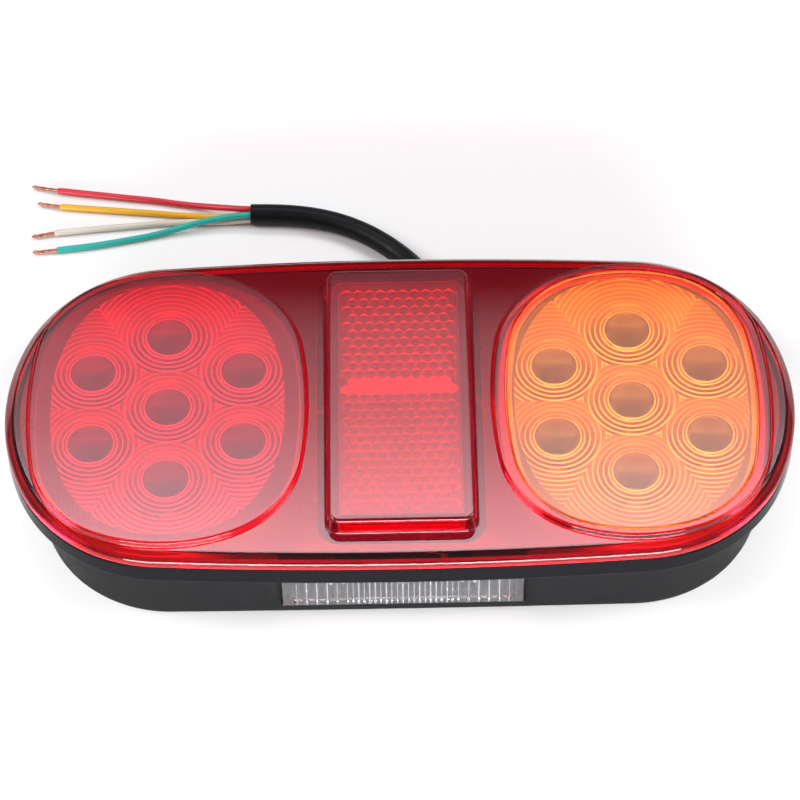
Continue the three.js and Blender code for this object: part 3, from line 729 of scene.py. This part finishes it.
def make_housing():
    shell = Shell()
    groove_outer, groove_inner, groove_floor = 0.6, 2.2, 26.2
    outside = [
        *fillet(0.6, FLANGE_BOTTOM + 0.6, 0.6, 0.6, 270, 180), (0, FLANGE_BOTTOM + 1.2),
        (0, FLANGE_TOP - 1), *fillet(0.5, FLANGE_TOP - 0.5, 0.5, 0.5, 180, 90),
        (groove_outer, FLANGE_TOP), (groove_outer, groove_floor), (groove_inner, groove_floor),
        (groove_inner, FLANGE_TOP), (FLANGE_WALL, FLANGE_TOP), (FLANGE_WALL, LEDGE_TOP),
    ]
    flange_low, ledge_outer = shell.rise(LENS_PLAN, outside, material=1)
    body_profile = [
        (8.0, BACK_RECESS), (8.0, 0.15), (7.85, 0), (0.9, 0),
        *fillet(0.8, 0.8, 0.8, 0.8, 250, 180), (0, 2), (0, FLANGE_BOTTOM - 2.4),
        *fillet(-0.7, FLANGE_BOTTOM - 0.7, 0.7, 0.7, 0, 90),
    ]
    recess_edge, body_top = shell.rise(BODY_PLAN, body_profile)
    shell.fill(flange_low, body_top)
    inner_profile = [
        (BODY_WALL, LEDGE_TOP), (BODY_WALL, FLOOR_TOP + 1),
        *fillet(BODY_WALL + 0.8, FLOOR_TOP + 0.8, 0.8, 0.8, 180, 270),
    ]
    ledge_inner, floor_edge = shell.rise(BODY_PLAN, inner_profile)
    shell.fill(ledge_outer, ledge_inner)

    floor_holes, recess_holes = [], []
    for side_name, side in SIDES:
        insert_low, insert_high = node_box(f"{side_name}_threaded_insert")
        x = (insert_low.x + insert_high.x) / 2
        radius = (insert_high.x - insert_low.x) / 2
        pad, hole = shell.turn(x, 0, [
            (9, BACK_RECESS), (9, 0.2), (8.8, 0), (radius + 0.25, 0), (radius + 0.05, 0.2),
            (radius + 0.05, insert_high.z + 0.3),
        ])
        recess_holes.append(pad)
        shell.fill(hole)
        boss, boss_top = shell.turn(x, 0, [
            (7.1, FLOOR_TOP), (6.6, FLOOR_TOP + 0.5), (6.5, 8.5), (6.2, 8.9),
        ])
        floor_holes.append(boss)
        shell.fill(boss_top)
        for corner in (-1, 1):
            post_x = side * WINDOW_X + corner * BOARD_SCREW_X
            post, pilot = shell.turn(post_x, corner * BOARD_SCREW_Y, [
                (3.4, FLOOR_TOP), (3, FLOOR_TOP + 0.4), (3, 8.8), (2.7, 9.1), (1.6, 9.1), (1.5, 3.4),
            ], steps=32)
            floor_holes.append(post)
            shell.fill(pilot)
    shell.fill(recess_edge, *recess_holes)
    shell.fill(floor_edge, *floor_holes)
    return shell.object("housing", 40, [BLACK_ABS, BLACK_GLOSS])


def cut(target, cutter):
    """Takes the cutter's shape out of the target."""
    modifier = target.modifiers.new("cut", "BOOLEAN")
    modifier.operation = "DIFFERENCE"
    modifier.solver = "EXACT"
    modifier.object = cutter
    evaluated = target.evaluated_get(bpy.context.evaluated_depsgraph_get())
    data = bpy.data.meshes.new_from_object(evaluated)
    target.modifiers.clear()
    target.data = data
    bpy.data.objects.remove(cutter)


def block_between(name, low, high, corner=0.6):
    """A box with round corners in its X-Z outline, from y low to y high."""
    shell = Shell()
    outline = Rectangle((high[0] - low[0]) / 2, (high[2] - low[2]) / 2, corner).points(6)
    cx, cz = (high[0] + low[0]) / 2, (high[2] + low[2]) / 2
    rings = [[shell.vert(x + cx, y, z + cz) for x, z in outline] for y in (low[1], high[1])]
    shell.strip(*rings)
    for ring in rings:
        shell.fill(ring)
    return shell.object(name)


PLATE_HALF = 30.5
PLATE_BOTTOM, PLATE_TOP = plate_low.z, 15.0
PLATE_FRONT = plate_low.y
PLATE_GAP = 0.3
BODY_FRONT = -BODY_PLAN.b

housing = make_housing()
cut(housing, block_between(
    "plate_cutter", (-PLATE_HALF - PLATE_GAP, BODY_FRONT - 2, PLATE_BOTTOM - PLATE_GAP),
    (PLATE_HALF + PLATE_GAP, BODY_FRONT + BODY_WALL + 1, PLATE_TOP + PLATE_GAP),
))
cable_hole = [(0, -5), (4.75, -5), (4.75, 3), (0, 3)]
cut(housing, turned("hole_cutter", EXIT, (0, 1, 0), cable_hole, []))
stands_for(housing, "rear_housing")


# ---- lens cover and amber insert ----

CELL_STEPS = 144
DISC_RADIUS = 6.0
FIRST_RING = 6.9
RING_PITCH = 1.37
TOOTH = 0.22
DOME = 0.35
RISER = 0.36
FIELD = (29.8, 39.2, 2.3)  # half length, half width and power of the ringed field's outline
SATIN_EDGE = 4.1  # from the cover's outline to the matt underside, which carries painted light and painted shade
SHADE_HALO = 2.4  # width of the plain underside round the block, painted shade


def fresnel_profile(reach=30.0):
    """(radius, depth, is a riser up to this point) from an LED's axis outwards."""
    points = [(DISC_RADIUS * t, DOME * (1 - t * t), False) for t in (0, 0.2, 0.4, 0.6, 0.8, 0.97)]
    points.append((DISC_RADIUS - RISER / 2, 0.06 * DOME, False))
    points.append((DISC_RADIUS + RISER / 2, TOOTH, True))
    radius = FIRST_RING
    while radius < reach:
        points.append((radius - RISER / 2, 0.0, False))
        points.append((radius + RISER / 2, TOOTH, True))
        radius += RING_PITCH
    return points


def depth_at(profile, radius):
    for (r0, d0, _), (r1, d1, _) in zip(profile, profile[1:]):
        if radius <= r1:
            return d0 + (d1 - d0) * (radius - r0) / (r1 - r0)
    return 0.0


def in_field(x, y):
    a, b, power = FIELD
    return abs(x / a) ** power + abs(y / b) ** power < 1


def cell_reach(place, angle):
    """How far an LED's own rings run: half way to the next LED, or to the edge of the field."""
    ux, uy = math.cos(angle), math.sin(angle)
    reach = 60.0
    for other in LED_PLACES:
        dx, dy = other[0] - place[0], other[1] - place[1]
        facing = dx * ux + dy * uy
        if facing > 1e-6:
            reach = min(reach, (dx * dx + dy * dy) / 2 / facing)
    if in_field(place[0] + ux * reach, place[1] + uy * reach):
        return reach
    low, high = 0.0, reach
    for _ in range(40):
        half = (low + high) / 2
        inside = in_field(place[0] + ux * half, place[1] + uy * half)
        low, high = (half, high) if inside else (low, half)
    return low


def add_fresnel(shell, cx, base, border):
    """Ringed underside at height base, joined to the border loop that lies at the same height."""
    profile = fresnel_profile()
    shared = {}

    def corner(x, y, depth):
        key = (round(x, 3), round(y, 3))
        if key not in shared:
            shared[key] = shell.vert(cx + x, y, base - depth)
        return shared[key]

    for place in LED_PLACES:
        spokes = []
        for k in range(CELL_STEPS):
            angle = 2 * math.pi * k / CELL_STEPS
            reach = cell_reach(place, angle)
            spoke = []
            for radius, depth, _ in profile:
                r = min(radius, reach)
                depth_here = depth if radius <= reach else depth_at(profile, reach)
                x, y = place[0] + r * math.cos(angle), place[1] + r * math.sin(angle)
                spoke.append(corner(x, y, depth_here))
            spokes.append(spoke)
        for spoke, following in zip(spokes, [*spokes[1:], spokes[0]]):
            for m in range(len(profile) - 1):
                around = [spoke[m], spoke[m + 1], following[m + 1], following[m]]
                distinct = list(dict.fromkeys(around))
                if len(distinct) < 3:
                    continue
                face = shell.mesh.faces.new(distinct)
                on_disc = profile[m][0] <= DISC_RADIUS
                # Risers take the painted highlight material. Disc faces take the material with painted
                # shade and reflection. The other slopes take the ring material.
                face.material_index = 1 if profile[m + 1][2] else 3 if on_disc else 2
    rim = shell.level_rim(set(shared.values()), base, material=1)
    shell.fill(border, extra_edges=rim, material=3)


def window_profile(base, top):
    """Raised window wall: fillet at its foot, round upper edge, and a support loop on the flat top."""
    return [
        (-0.6, base), *fillet(-0.55, base + 0.5, 0.5, 0.5, 270, 350, 5), (0.0, top - 0.75),
        *fillet(0.75, top - 0.6, 0.65, 0.6, 170, 90, 6), (0.95, top),
    ]


def make_red_cover():
    shell = Shell()
    slope = math.radians(SHOULDER_SLOPE)
    run = SHOULDER_WIDTH - FOOT_ROUND * (1 - math.sin(slope)) - TOP_ROUND * math.sin(slope)
    top_centre = VALLEY_TOP - TOP_ROUND
    wall_top = top_centre + (TOP_ROUND - FOOT_ROUND) * math.cos(slope) - run * math.tan(slope)
    under_edge, inner_corner = shell.rise(
        LENS_PLAN, [(SATIN_EDGE, VALLEY_UNDER), (LENS_WALL, VALLEY_UNDER)]
    )
    wall_profile = [(LENS_WALL, LENS_BOTTOM), (0.25, LENS_BOTTOM)]
    _, lower_rim = shell.rise(LENS_PLAN, wall_profile, 2, inner_corner)
    outer = [
        (0, LENS_BOTTOM + 0.25), (0, wall_top - 0.1),
        *fillet(FOOT_ROUND, wall_top, FOOT_ROUND, FOOT_ROUND, 180, 90 + SHOULDER_SLOPE, 10),
        *fillet(SHOULDER_WIDTH, top_centre, TOP_ROUND, TOP_ROUND, 90 + SHOULDER_SLOPE, 90, 6),
        (SHOULDER_WIDTH + 0.1, VALLEY_TOP),
    ]
    _, valley_edge = shell.rise(LENS_PLAN, outer, 0, lower_rim)

    feet, under_feet = [], []
    step_up = [(0, VALLEY_UNDER), (0, WINDOW_UNDER)]
    for side in (-1, 1):
        window = at_window(WINDOW_PLAN, side)
        foot, crown = shell.rise(window, window_profile(VALLEY_TOP, WINDOW_TOP))
        feet.append(foot)
        if side < 0:
            shell.fill(crown, material=5)
            under_foot, ceiling = shell.rise(window.inset(2), step_up, 2)
            add_fresnel(shell, side * WINDOW_X, WINDOW_UNDER, ceiling)
        else:
            lip, ring_under = shell.rise(
                at_window(AMBER_PLAN, side),
                [(-0.15, WINDOW_TOP), (0, WINDOW_TOP - 0.15), (0, WINDOW_UNDER)],
            )
            shell.fill(crown, lip, material=5)
            under_foot, ceiling = shell.rise(window.inset(0.6), step_up, 2)
            shell.fill(ceiling, ring_under)
        under_feet.append(under_foot)

    block_profile = [
        (-0.9, VALLEY_TOP), *fillet(-0.8, VALLEY_TOP + 0.6, 0.6, 0.6, 270, 350, 5),
        (0.0, VALLEY_TOP + 1.2), (0.25, BLOCK_TOP - 1.0),
        *fillet(1.15, BLOCK_TOP - 0.9, 0.9, 0.9, 175, 90, 8), (1.3, BLOCK_TOP),
    ]
    block_foot, block_crown = shell.rise(BLOCK, block_profile)
    shell.fill(block_crown, material=5)
    hollow = BLOCK.inset(LENS_WALL + 0.6)
    hollow_foot, hollow_top = shell.rise(hollow, [(0, VALLEY_UNDER), (0, BLOCK_TOP - SKIN)])
    shell.fill(hollow_top)

    shell.fill(valley_edge, *feet, block_foot)
    # A band of the plain material round the block, painted shade.
    shade_halo = shell.loop(BLOCK.inset(-SHADE_HALO).points(), VALLEY_UNDER)
    shell.fill(shade_halo, hollow_foot, material=3)
    shell.fill(under_edge, *under_feet, shade_halo, material=4)
    materials = [RED_CLEAR, RED_STEP_HIGHLIGHT, RED_RING, RED_PLAIN, RED_SATIN_PAINTED_LIGHT, RED_FACE]
    return shell.object("lens_cover", 35, materials)


def make_amber_insert():
    shell = Shell()
    gap = 0.3
    amber = at_window(AMBER_PLAN, 1).inset(gap)
    lip_plan = at_window(WINDOW_PLAN, 1).inset(1.1)
    lip_top = WINDOW_UNDER - gap
    lip_bottom = lip_top - 1.5
    top = AMBER_TOP
    base = lip_top - 0.2
    foot, crown = shell.rise(amber, [
        (0, lip_top), (0, top - 0.5), *fillet(0.5, top - 0.5, 0.5, 0.5, 160, 90, 5), (0.65, top),
    ])
    shell.fill(crown)
    lip_edge, lip_low = shell.rise(lip_plan, [(0, lip_top), (0, lip_bottom)])
    shell.fill(foot, lip_edge)
    inner = at_window(AMBER_PLAN, 1).inset(1.8)
    mouth, ceiling = shell.rise(inner, [(0, lip_bottom), (0, base)])
    shell.fill(lip_low, mouth)
    add_fresnel(shell, WINDOW_X, base, ceiling)
    return shell.object("amber_insert", 35, [AMBER_CLEAR, AMBER_STEP_HIGHLIGHT, AMBER_RING, AMBER_PLAIN])


stands_for(make_red_cover(), "red_lens_cover")
stands_for(make_amber_insert(), "amber_lens_insert")


def make_seal():
    shell = Shell()
    offset = lens_high.x - seal_high.x
    profile = [
        (offset, seal_low.z), *fillet(offset + 0.5, seal_high.z - 0.2, 0.5, 0.2, 180, 0, 8),
        (offset + 1, seal_low.z),
    ]
    first, last = shell.rise(LENS_PLAN, profile)
    shell.strip(last, first)
    return shell.object("seal", 40, [RUBBER])


stands_for(make_seal(), "lens_seal")


# ---- reflex reflector ----

PRISM_PITCH = 2.94
PRISM_ROW = PRISM_PITCH * math.sqrt(3) / 2
PRISM_DEPTH = 1.2
PRISM_EDGE = 0.30  # width of the painted glint strip on a prism, as a share of its face
LOWER_EDGE = 0.16  # the same below the painted glint rows
# Rows whose prisms are mostly painted glint.
BRIGHT_ROWS = (1, 2)
PRISM_MARGIN = 0.3


def make_prism_plate():
    """Clear plate whose underside is a field of six-sided cube-corner prisms."""
    shell = Shell()
    a, b = prism_high.x, prism_high.y
    top, bottom = prism_high.z, prism_low.z + PRISM_DEPTH
    outline = Rectangle(a, b, 1.5)
    crown, skirt = shell.rise(outline, [(0.2, top), (0, top - 0.2), (0, bottom)], 3)
    shell.fill(crown, material=3)
    circumradius = PRISM_PITCH / math.sqrt(3)
    hexagon = arc(0, 0, circumradius, math.pi / 6, math.pi / 6 + 2 * math.pi, 6)
    shared = {}

    def corner(x, y, z):
        key = (round(10 * x / PRISM_PITCH), round(10 * y / circumradius))
        if key not in shared:
            shared[key] = shell.vert(x, y, z)
        return shared[key]

    def face(*corners, material=0):
        made = shell.mesh.faces.new(list(dict.fromkeys(corners)))
        made.material_index = material

    rows = int((b - circumradius - 0.1) / PRISM_ROW)
    for row in range(-rows, rows + 1):
        y = row * PRISM_ROW
        shift = 0.5 * PRISM_PITCH if row % 2 else 0.0
        columns = int((a - PRISM_MARGIN - PRISM_PITCH / 2 - shift) / PRISM_PITCH)
        bright = 1 if row in BRIGHT_ROWS else 0
        edge_width = PRISM_EDGE if row > max(BRIGHT_ROWS) else LOWER_EDGE
        for column in range(-columns - (1 if shift else 0), columns + 1):
            x = shift + column * PRISM_PITCH
            ring = [
                corner(x + dx, y + dy, bottom if i % 2 else bottom - PRISM_DEPTH / 2)
                for i, (dx, dy) in enumerate(hexagon)
            ]
            tip = shell.vert(x, y, bottom - PRISM_DEPTH)
            # In the glint rows two faces of each prism are painted glint. In the other rows a strip at
            # the prism's +Y corner is painted glint, and the rest is painted shade.
            if bright:
                face(tip, ring[0], ring[1], ring[2], material=1)
            else:
                inner = shell.mesh.verts.new(ring[1].co.lerp(tip.co, edge_width))
                face(tip, ring[0], inner, ring[2])
                face(ring[0], ring[1], ring[2], inner, material=1)
            face(tip, ring[2], ring[3], ring[4], material=2 * bright)
            face(tip, ring[4], ring[5], ring[0], material=bright)
    rim = shell.level_rim(set(shared.values()), bottom)
    shell.fill(skirt, extra_edges=rim)
    return shell.object("prism_plate", 10, [PRISM_SHADED, PRISM_GLINT, RED_RING, RED_CLEAR])


stands_for(make_prism_plate(), "reflex_prism_plate")


def make_cap():
    shell = Shell()
    plate = Rectangle(cap_high.x, cap_high.y, 2.5)
    wall = Rectangle(prism_high.x - 0.1, prism_high.y - 0.1, 1.4)
    plate_top = cap_low.z + 1.1
    low, shoulder = shell.rise(plate, [
        (0.3, cap_low.z), (0, cap_low.z + 0.3), (0, plate_top - 0.2), (0.2, plate_top),
    ])
    shell.fill(low)
    foot, well = shell.rise(wall, [
        (0, plate_top), (0, cap_high.z - 0.1), (0.1, cap_high.z),
        (1.1, cap_high.z), (1.2, cap_high.z - 0.1), (1.2, plate_top),
    ])
    shell.fill(shoulder, foot)
    shell.fill(well)
    return shell.object("prism_cap", 40, [PRISM_BACK])


stands_for(make_cap(), "reflex_backing_cap")


# ---- reflector trays, boards, LEDs, screws and resistors ----

CUP_TOP, CUP_BOTTOM = 9.9, 3.3
CUP_SKIN = 0.9
TRAY_PLATE = 1.2
TRAY_RIM_BOTTOM = 24.3


def cup_radius(t):
    """Inner radius of a reflector cup, from its bottom at 0 to its top at 1."""
    return CUP_BOTTOM + (CUP_TOP - CUP_BOTTOM) * t**0.88


def make_tray(name, side):
    shell = Shell()
    top, under, floor = tray_high.z, tray_high.z - TRAY_PLATE, tray_low.z
    profile = [
        (1.2, under), (1.2, TRAY_RIM_BOTTOM), (0, TRAY_RIM_BOTTOM),
        *fillet(0.3, top - 0.3, 0.3, 0.3, 180, 90, 4), (0.4, top),
    ]
    under_edge, top_edge = shell.rise(at_window(TRAY_PLAN, side), profile)
    steps = [i / 10 for i in range(11)]
    cup = [
        (CUP_TOP + 0.35, top), (CUP_TOP + 0.12, top - 0.08),
        *[(cup_radius(t), floor + (top - 0.25 - floor) * t) for t in reversed(steps)],
        *[(cup_radius(t) + CUP_SKIN, floor + (under - floor) * t) for t in steps],
    ]
    tops, unders = [], []
    for x, y in LED_PLACES:
        opening, neck = shell.turn(side * WINDOW_X + x, y, cup, steps=72)
        tops.append(opening)
        unders.append(neck)
    shell.fill(top_edge, *tops)
    shell.fill(under_edge, *unders)
    return shell.object(name, 35, [SILVER])


def make_board(name, node, side):
    low, high = node_box(node)
    shell = Shell()
    plan = Plan((high.x - low.x) / 2, high.y, 42, 100, 20, x=side * WINDOW_X)
    profile = [(0.12, low.z), (0, low.z + 0.12), (0, high.z - 0.12), (0.12, high.z)]
    under, top = shell.rise(plan, profile)
    hole = [(1.6, low.z), (1.6, high.z)]
    holes = [
        shell.turn(side * WINDOW_X + corner * BOARD_SCREW_X, corner * BOARD_SCREW_Y, hole, steps=24)
        for corner in (-1, 1)
    ]
    shell.fill(under, *[hole[0] for hole in holes])
    shell.fill(top, *[hole[1] for hole in holes])
    return shell.object(name, 35, [BOARD])


def led_profile(height, radius=2.5):
    """A flange at the LED's foot and a domed top."""
    angles = [i * math.pi / 16 for i in range(9)]
    return [
        (0, 0), (radius + 0.38, 0), (radius + 0.4, 0.1), (radius + 0.4, height * 0.1),
        (radius + 0.25, height * 0.12), (radius, height * 0.14),
        *[(radius * math.cos(t), height * 0.7 + height * 0.3 * math.sin(t)) for t in angles],
    ]


def put_led(name, node, axis):
    """An LED that stands on the board's side of its CAD box, with its dome along the axis."""
    low, high = node_box(node)
    axis = Vector(axis)
    reach = abs((high - low).dot(axis))
    foot = (low + high) / 2 - axis * reach / 2
    stands_for(turned(name, foot, axis, led_profile(reach), [LED_RESIN]), node)


SCREW_PROFILE = [
    (0, -6.2), (0.9, -5.9), *[(1.3 - 0.22 * (i % 2), -5.6 + i * 0.28) for i in range(20)],
    (1.3, 0), (2.6, 0), (2.8, 0.2), (2.8, 0.7), (2.5, 1.25), (1.8, 1.7), (0.9, 1.95), (0.75, 1.2),
    (0, 1.1),
]
RESISTOR_HALF = [
    (1.0, 0), (1.05, 1.9), (1.2, 2.4), (1.15, 2.8), (0.8, 3.1), (0.35, 3.3), (0.33, 4.58), (0, 4.6),
]
RESISTOR_PROFILE = [*[(r, -z) for r, z in reversed(RESISTOR_HALF[1:])], *RESISTOR_HALF]
UP = (0, 0, 1)

for side_name, side in SIDES:
    tray = make_tray(f"{side_name}_cup_tray", side)
    stands_for(tray, f"{side_name}_reflector_tray")
    board_node = f"{side_name}_led_board"
    board = make_board(f"{side_name}_board", board_node, side)
    stands_for(board, board_node)
    for i in range(1, 8):
        put_led(f"{side_name}_lamp_{i}", f"{side_name}_led_{i}", UP)
    for i in (1, 2):
        node = f"{side_name}_board_screw_{i}"
        head_seat = Vector((*middle(node).xy, node_box(node)[1].z - 2))
        screw = turned(f"{side_name}_screw_{i}", head_seat, UP, SCREW_PROFILE, [STEEL])
        stands_for(screw, node)
        node = f"{side_name}_resistor_{i}"
        resistor = turned(
            f"{side_name}_axial_resistor_{i}", middle(node), (1, 0, 0), RESISTOR_PROFILE, [RESISTOR], 24
        )
        stands_for(resistor, node)


# ---- number-plate lamp ----

WIDE_FLUTE, NARROW_FLUTE = 2.6, 1.4
FLUTED_HALF, NARROW_HALF = 27.0, 14.0
BEZEL_STEP = 0.45
FLUTE_GAP = 0.09


def flute_height(x):
    """Height of the upright ribs on the lens's face: narrow in the middle, wide towards both ends."""
    reach = abs(x)
    if reach > FLUTED_HALF:
        return 0.0
    pitch, amount = (WIDE_FLUTE, 0.55) if reach > NARROW_HALF else (NARROW_FLUTE, 0.32)
    across = ((reach - NARROW_HALF) / pitch) % 1.0 - 0.5
    return amount * (1 - (2 * across) ** 2)


def plate_face(x, z):
    """How far the face is sunk behind its flat bezel."""
    inner_z = min(z - (PLATE_BOTTOM + 1.3), PLATE_TOP - 1.0 - z)
    inner_x = FLUTED_HALF + 1.2 - abs(x)
    sunk = max(0.0, min(1.0, min(inner_z, inner_x) / 0.5))
    return sunk * (BEZEL_STEP + 0.2 - flute_height(x))


def make_plate_lens():
    shell = Shell()
    columns = 420
    rows = [PLATE_BOTTOM + (PLATE_TOP - PLATE_BOTTOM) * i / 48 for i in range(49)]
    xs = [-PLATE_HALF + 2 * PLATE_HALF * i / columns for i in range(columns + 1)]
    edge = 0.25

    def face_y(x, z):
        near = min(PLATE_HALF - abs(x), z - PLATE_BOTTOM, PLATE_TOP - z)
        rounding = edge - math.sqrt(max(0.0, edge**2 - max(0.0, edge - near) ** 2))
        return PLATE_FRONT + plate_face(x, z) + rounding

    grid = [[shell.vert(x, face_y(x, z), z) for x in xs] for z in rows]
    for lower, upper in zip(grid, grid[1:]):
        for i in range(columns):
            face = shell.mesh.faces.new((lower[i], lower[i + 1], upper[i + 1], upper[i]))
            across = (xs[i] + xs[i + 1]) / 2
            # Groove faces between the flutes get the painted highlight material.
            if abs(across) < FLUTED_HALF and flute_height(across) < FLUTE_GAP:
                face.material_index = 1
    outline = [
        *grid[0], *[row[-1] for row in grid[1:]],
        *reversed(grid[-1][:-1]), *[row[0] for row in reversed(grid[1:-1])],
    ]
    neck_y = BODY_FRONT + BODY_WALL + 0.3
    neck = [shell.mesh.verts.new((v.co.x, neck_y * MM, v.co.z)) for v in outline]
    shell.strip(outline, neck)

    def rectangle(half, bottom, top, y):
        corners = ((-half, bottom), (half, bottom), (half, top), (-half, top))
        return [shell.vert(x, y, z) for x, z in corners]

    lip = PLATE_HALF + 1.6
    flange_front = rectangle(lip, PLATE_BOTTOM, plate_high.z, neck_y)
    flange_back = rectangle(lip, PLATE_BOTTOM, plate_high.z, plate_high.y)
    shell.fill(neck, flange_front)
    shell.strip(flange_front, flange_back)
    hollow = (PLATE_HALF - 1.5, PLATE_BOTTOM + 1.5, PLATE_TOP - 1.5)
    hollow_mouth = rectangle(*hollow, plate_high.y)
    hollow_end = rectangle(*hollow, PLATE_FRONT + 2.2)
    shell.fill(flange_back, hollow_mouth)
    shell.strip(hollow_mouth, hollow_end)
    shell.fill(hollow_end)
    return shell.object("plate_lens", 30, [CLEAR, FLUTE_GROOVE_HIGHLIGHT])


stands_for(make_plate_lens(), "plate_lamp_lens")
plate_board = block_between("plate_board", *node_box("plate_lamp_board"))
plate_board.data.materials.append(BOARD)
stands_for(plate_board, "plate_lamp_board")
for i in (1, 2, 3):
    put_led(f"plate_lamp_{i}", f"plate_led_{i}", (0, -1, 0))


# ---- threaded inserts and cable tie ----

INSERT_BORE, THREAD_PITCH = 2.6, 0.8

for side_name, _ in SIDES:
    node = f"{side_name}_threaded_insert"
    low, high = node_box(node)
    outer = (high.x - low.x) / 2
    turns = int((high.z - low.z - THREAD_PITCH) / (THREAD_PITCH / 2))
    thread = [
        (2.45 if i % 2 else 2.12, high.z - THREAD_PITCH / 2 - i * THREAD_PITCH / 2)
        for i in range(turns)
    ]
    profile = [
        (INSERT_BORE, low.z), (outer - 0.1, low.z), (outer, low.z + 0.1), (outer, 3.3),
        (outer - 0.5, 3.6), (outer - 0.5, 4.3), (outer, 4.6), (outer, high.z - 0.2),
        (outer - 0.2, high.z), (INSERT_BORE, high.z), *thread, (INSERT_BORE, low.z),
    ]
    foot = Vector((*middle(node).xy, 0))
    insert = turned(f"{side_name}_insert", foot, UP, profile, [BRASS])
    stands_for(insert, node)
tie_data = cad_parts["cable_tie"].data
tie_data.materials.clear()
tie_data.materials.append(NYLON)


# ---- stage ----


FLOOR_HALF = 3000
PANEL_LOW, PANEL_HIGH, PANEL_HEIGHT = (-700, 500), (700, 1040), 1250
PANEL_STOPS = [  # (place from the near to the far edge, brightness)
    (0.0, 0.2), (0.40, 0.6), (0.50, 1.0), (0.60, 0.62), (0.70, 0.34), (0.83, 0.20), (0.91, 0.01),
]


def flat_sheet(name, low, high, height, material):
    """A level rectangle of the stage."""
    shell = Shell()
    corners = [(low[0], low[1]), (high[0], low[1]), (high[0], high[1]), (low[0], high[1])]
    shell.mesh.faces.new(shell.loop(corners, height))
    made = shell.object(name, 30, [material])
    return made


def area_light(name, place, target, size, power):
    data = bpy.data.lights.new(name, "AREA")
    data.shape = "RECTANGLE"
    data.size, data.size_y = size
    data.energy = power
    made = link_object(name, data)
    made.location = place
    made.rotation_mode = "QUATERNION"
    made.rotation_quaternion = (Vector(target) - Vector(place)).to_track_quat("-Z", "Y")
    made.visible_camera = False


def panel_material(name, strength):
    """Glow that changes from the near edge of the panel to its far edge."""
    material = bpy.data.materials.new(name)
    tree, _, output = nodes_of(material)
    split = add_node(tree, "SeparateXYZ", Vector=object_place(tree))
    along = add_node(
        tree, "MapRange",
        From_Min=PANEL_LOW[1] * MM, From_Max=PANEL_HIGH[1] * MM, Value=split.outputs["Y"],
    )
    ramp = add_node(tree, "ValToRGB", Fac=along.outputs["Result"])
    glow = add_node(tree, "Emission", Strength=strength, Color=ramp.outputs["Color"])
    set_inputs(tree, output, Surface=glow.outputs["Emission"])
    elements = ramp.color_ramp.elements
    while len(elements) < len(PANEL_STOPS):
        elements.new(0.5)
    for element, (position, level) in zip(elements, PANEL_STOPS):
        element.position = position
        element.color = (level, 0.97 * level, 1.04 * level, 1)
    return material


floor_material = solid_material(
    "floor", (0.86, 0.86, 0.86), (0.84, 0.84, 0.84), (0.8, 0.9), patch=0.002, grain=0.05, bump=0.0
)
floor = flat_sheet(
    "floor", (-FLOOR_HALF, -FLOOR_HALF), (FLOOR_HALF, FLOOR_HALF), 0, floor_material
)
floor.location.z = -0.0002
area_light("left_softbox", (-1.5, -0.1, 1.35), (0, 0, 0), (0.9, 0.9), 21)
area_light("right_softbox", (1.5, -0.1, 1.35), (0, 0, 0), (0.9, 0.9), 18)
area_light("front_strip", (0.0, -1.0, 0.32), (0, 0, 0.02), (1.1, 0.36), 24)
panel = flat_sheet(
    "back_panel", PANEL_LOW, PANEL_HIGH, PANEL_HEIGHT, panel_material("back_panel", 8.0)
)
panel.visible_camera = False
panel.visible_shadow = False

world = bpy.data.worlds.new("studio")
world.use_nodes = True
background = world.node_tree.nodes["Background"]
background.inputs["Color"].default_value = (1, 1, 1, 1)
background.inputs["Strength"].default_value = 0.25
bpy.context.scene.world = world
bpy.context.scene.view_settings.view_transform = "Standard"
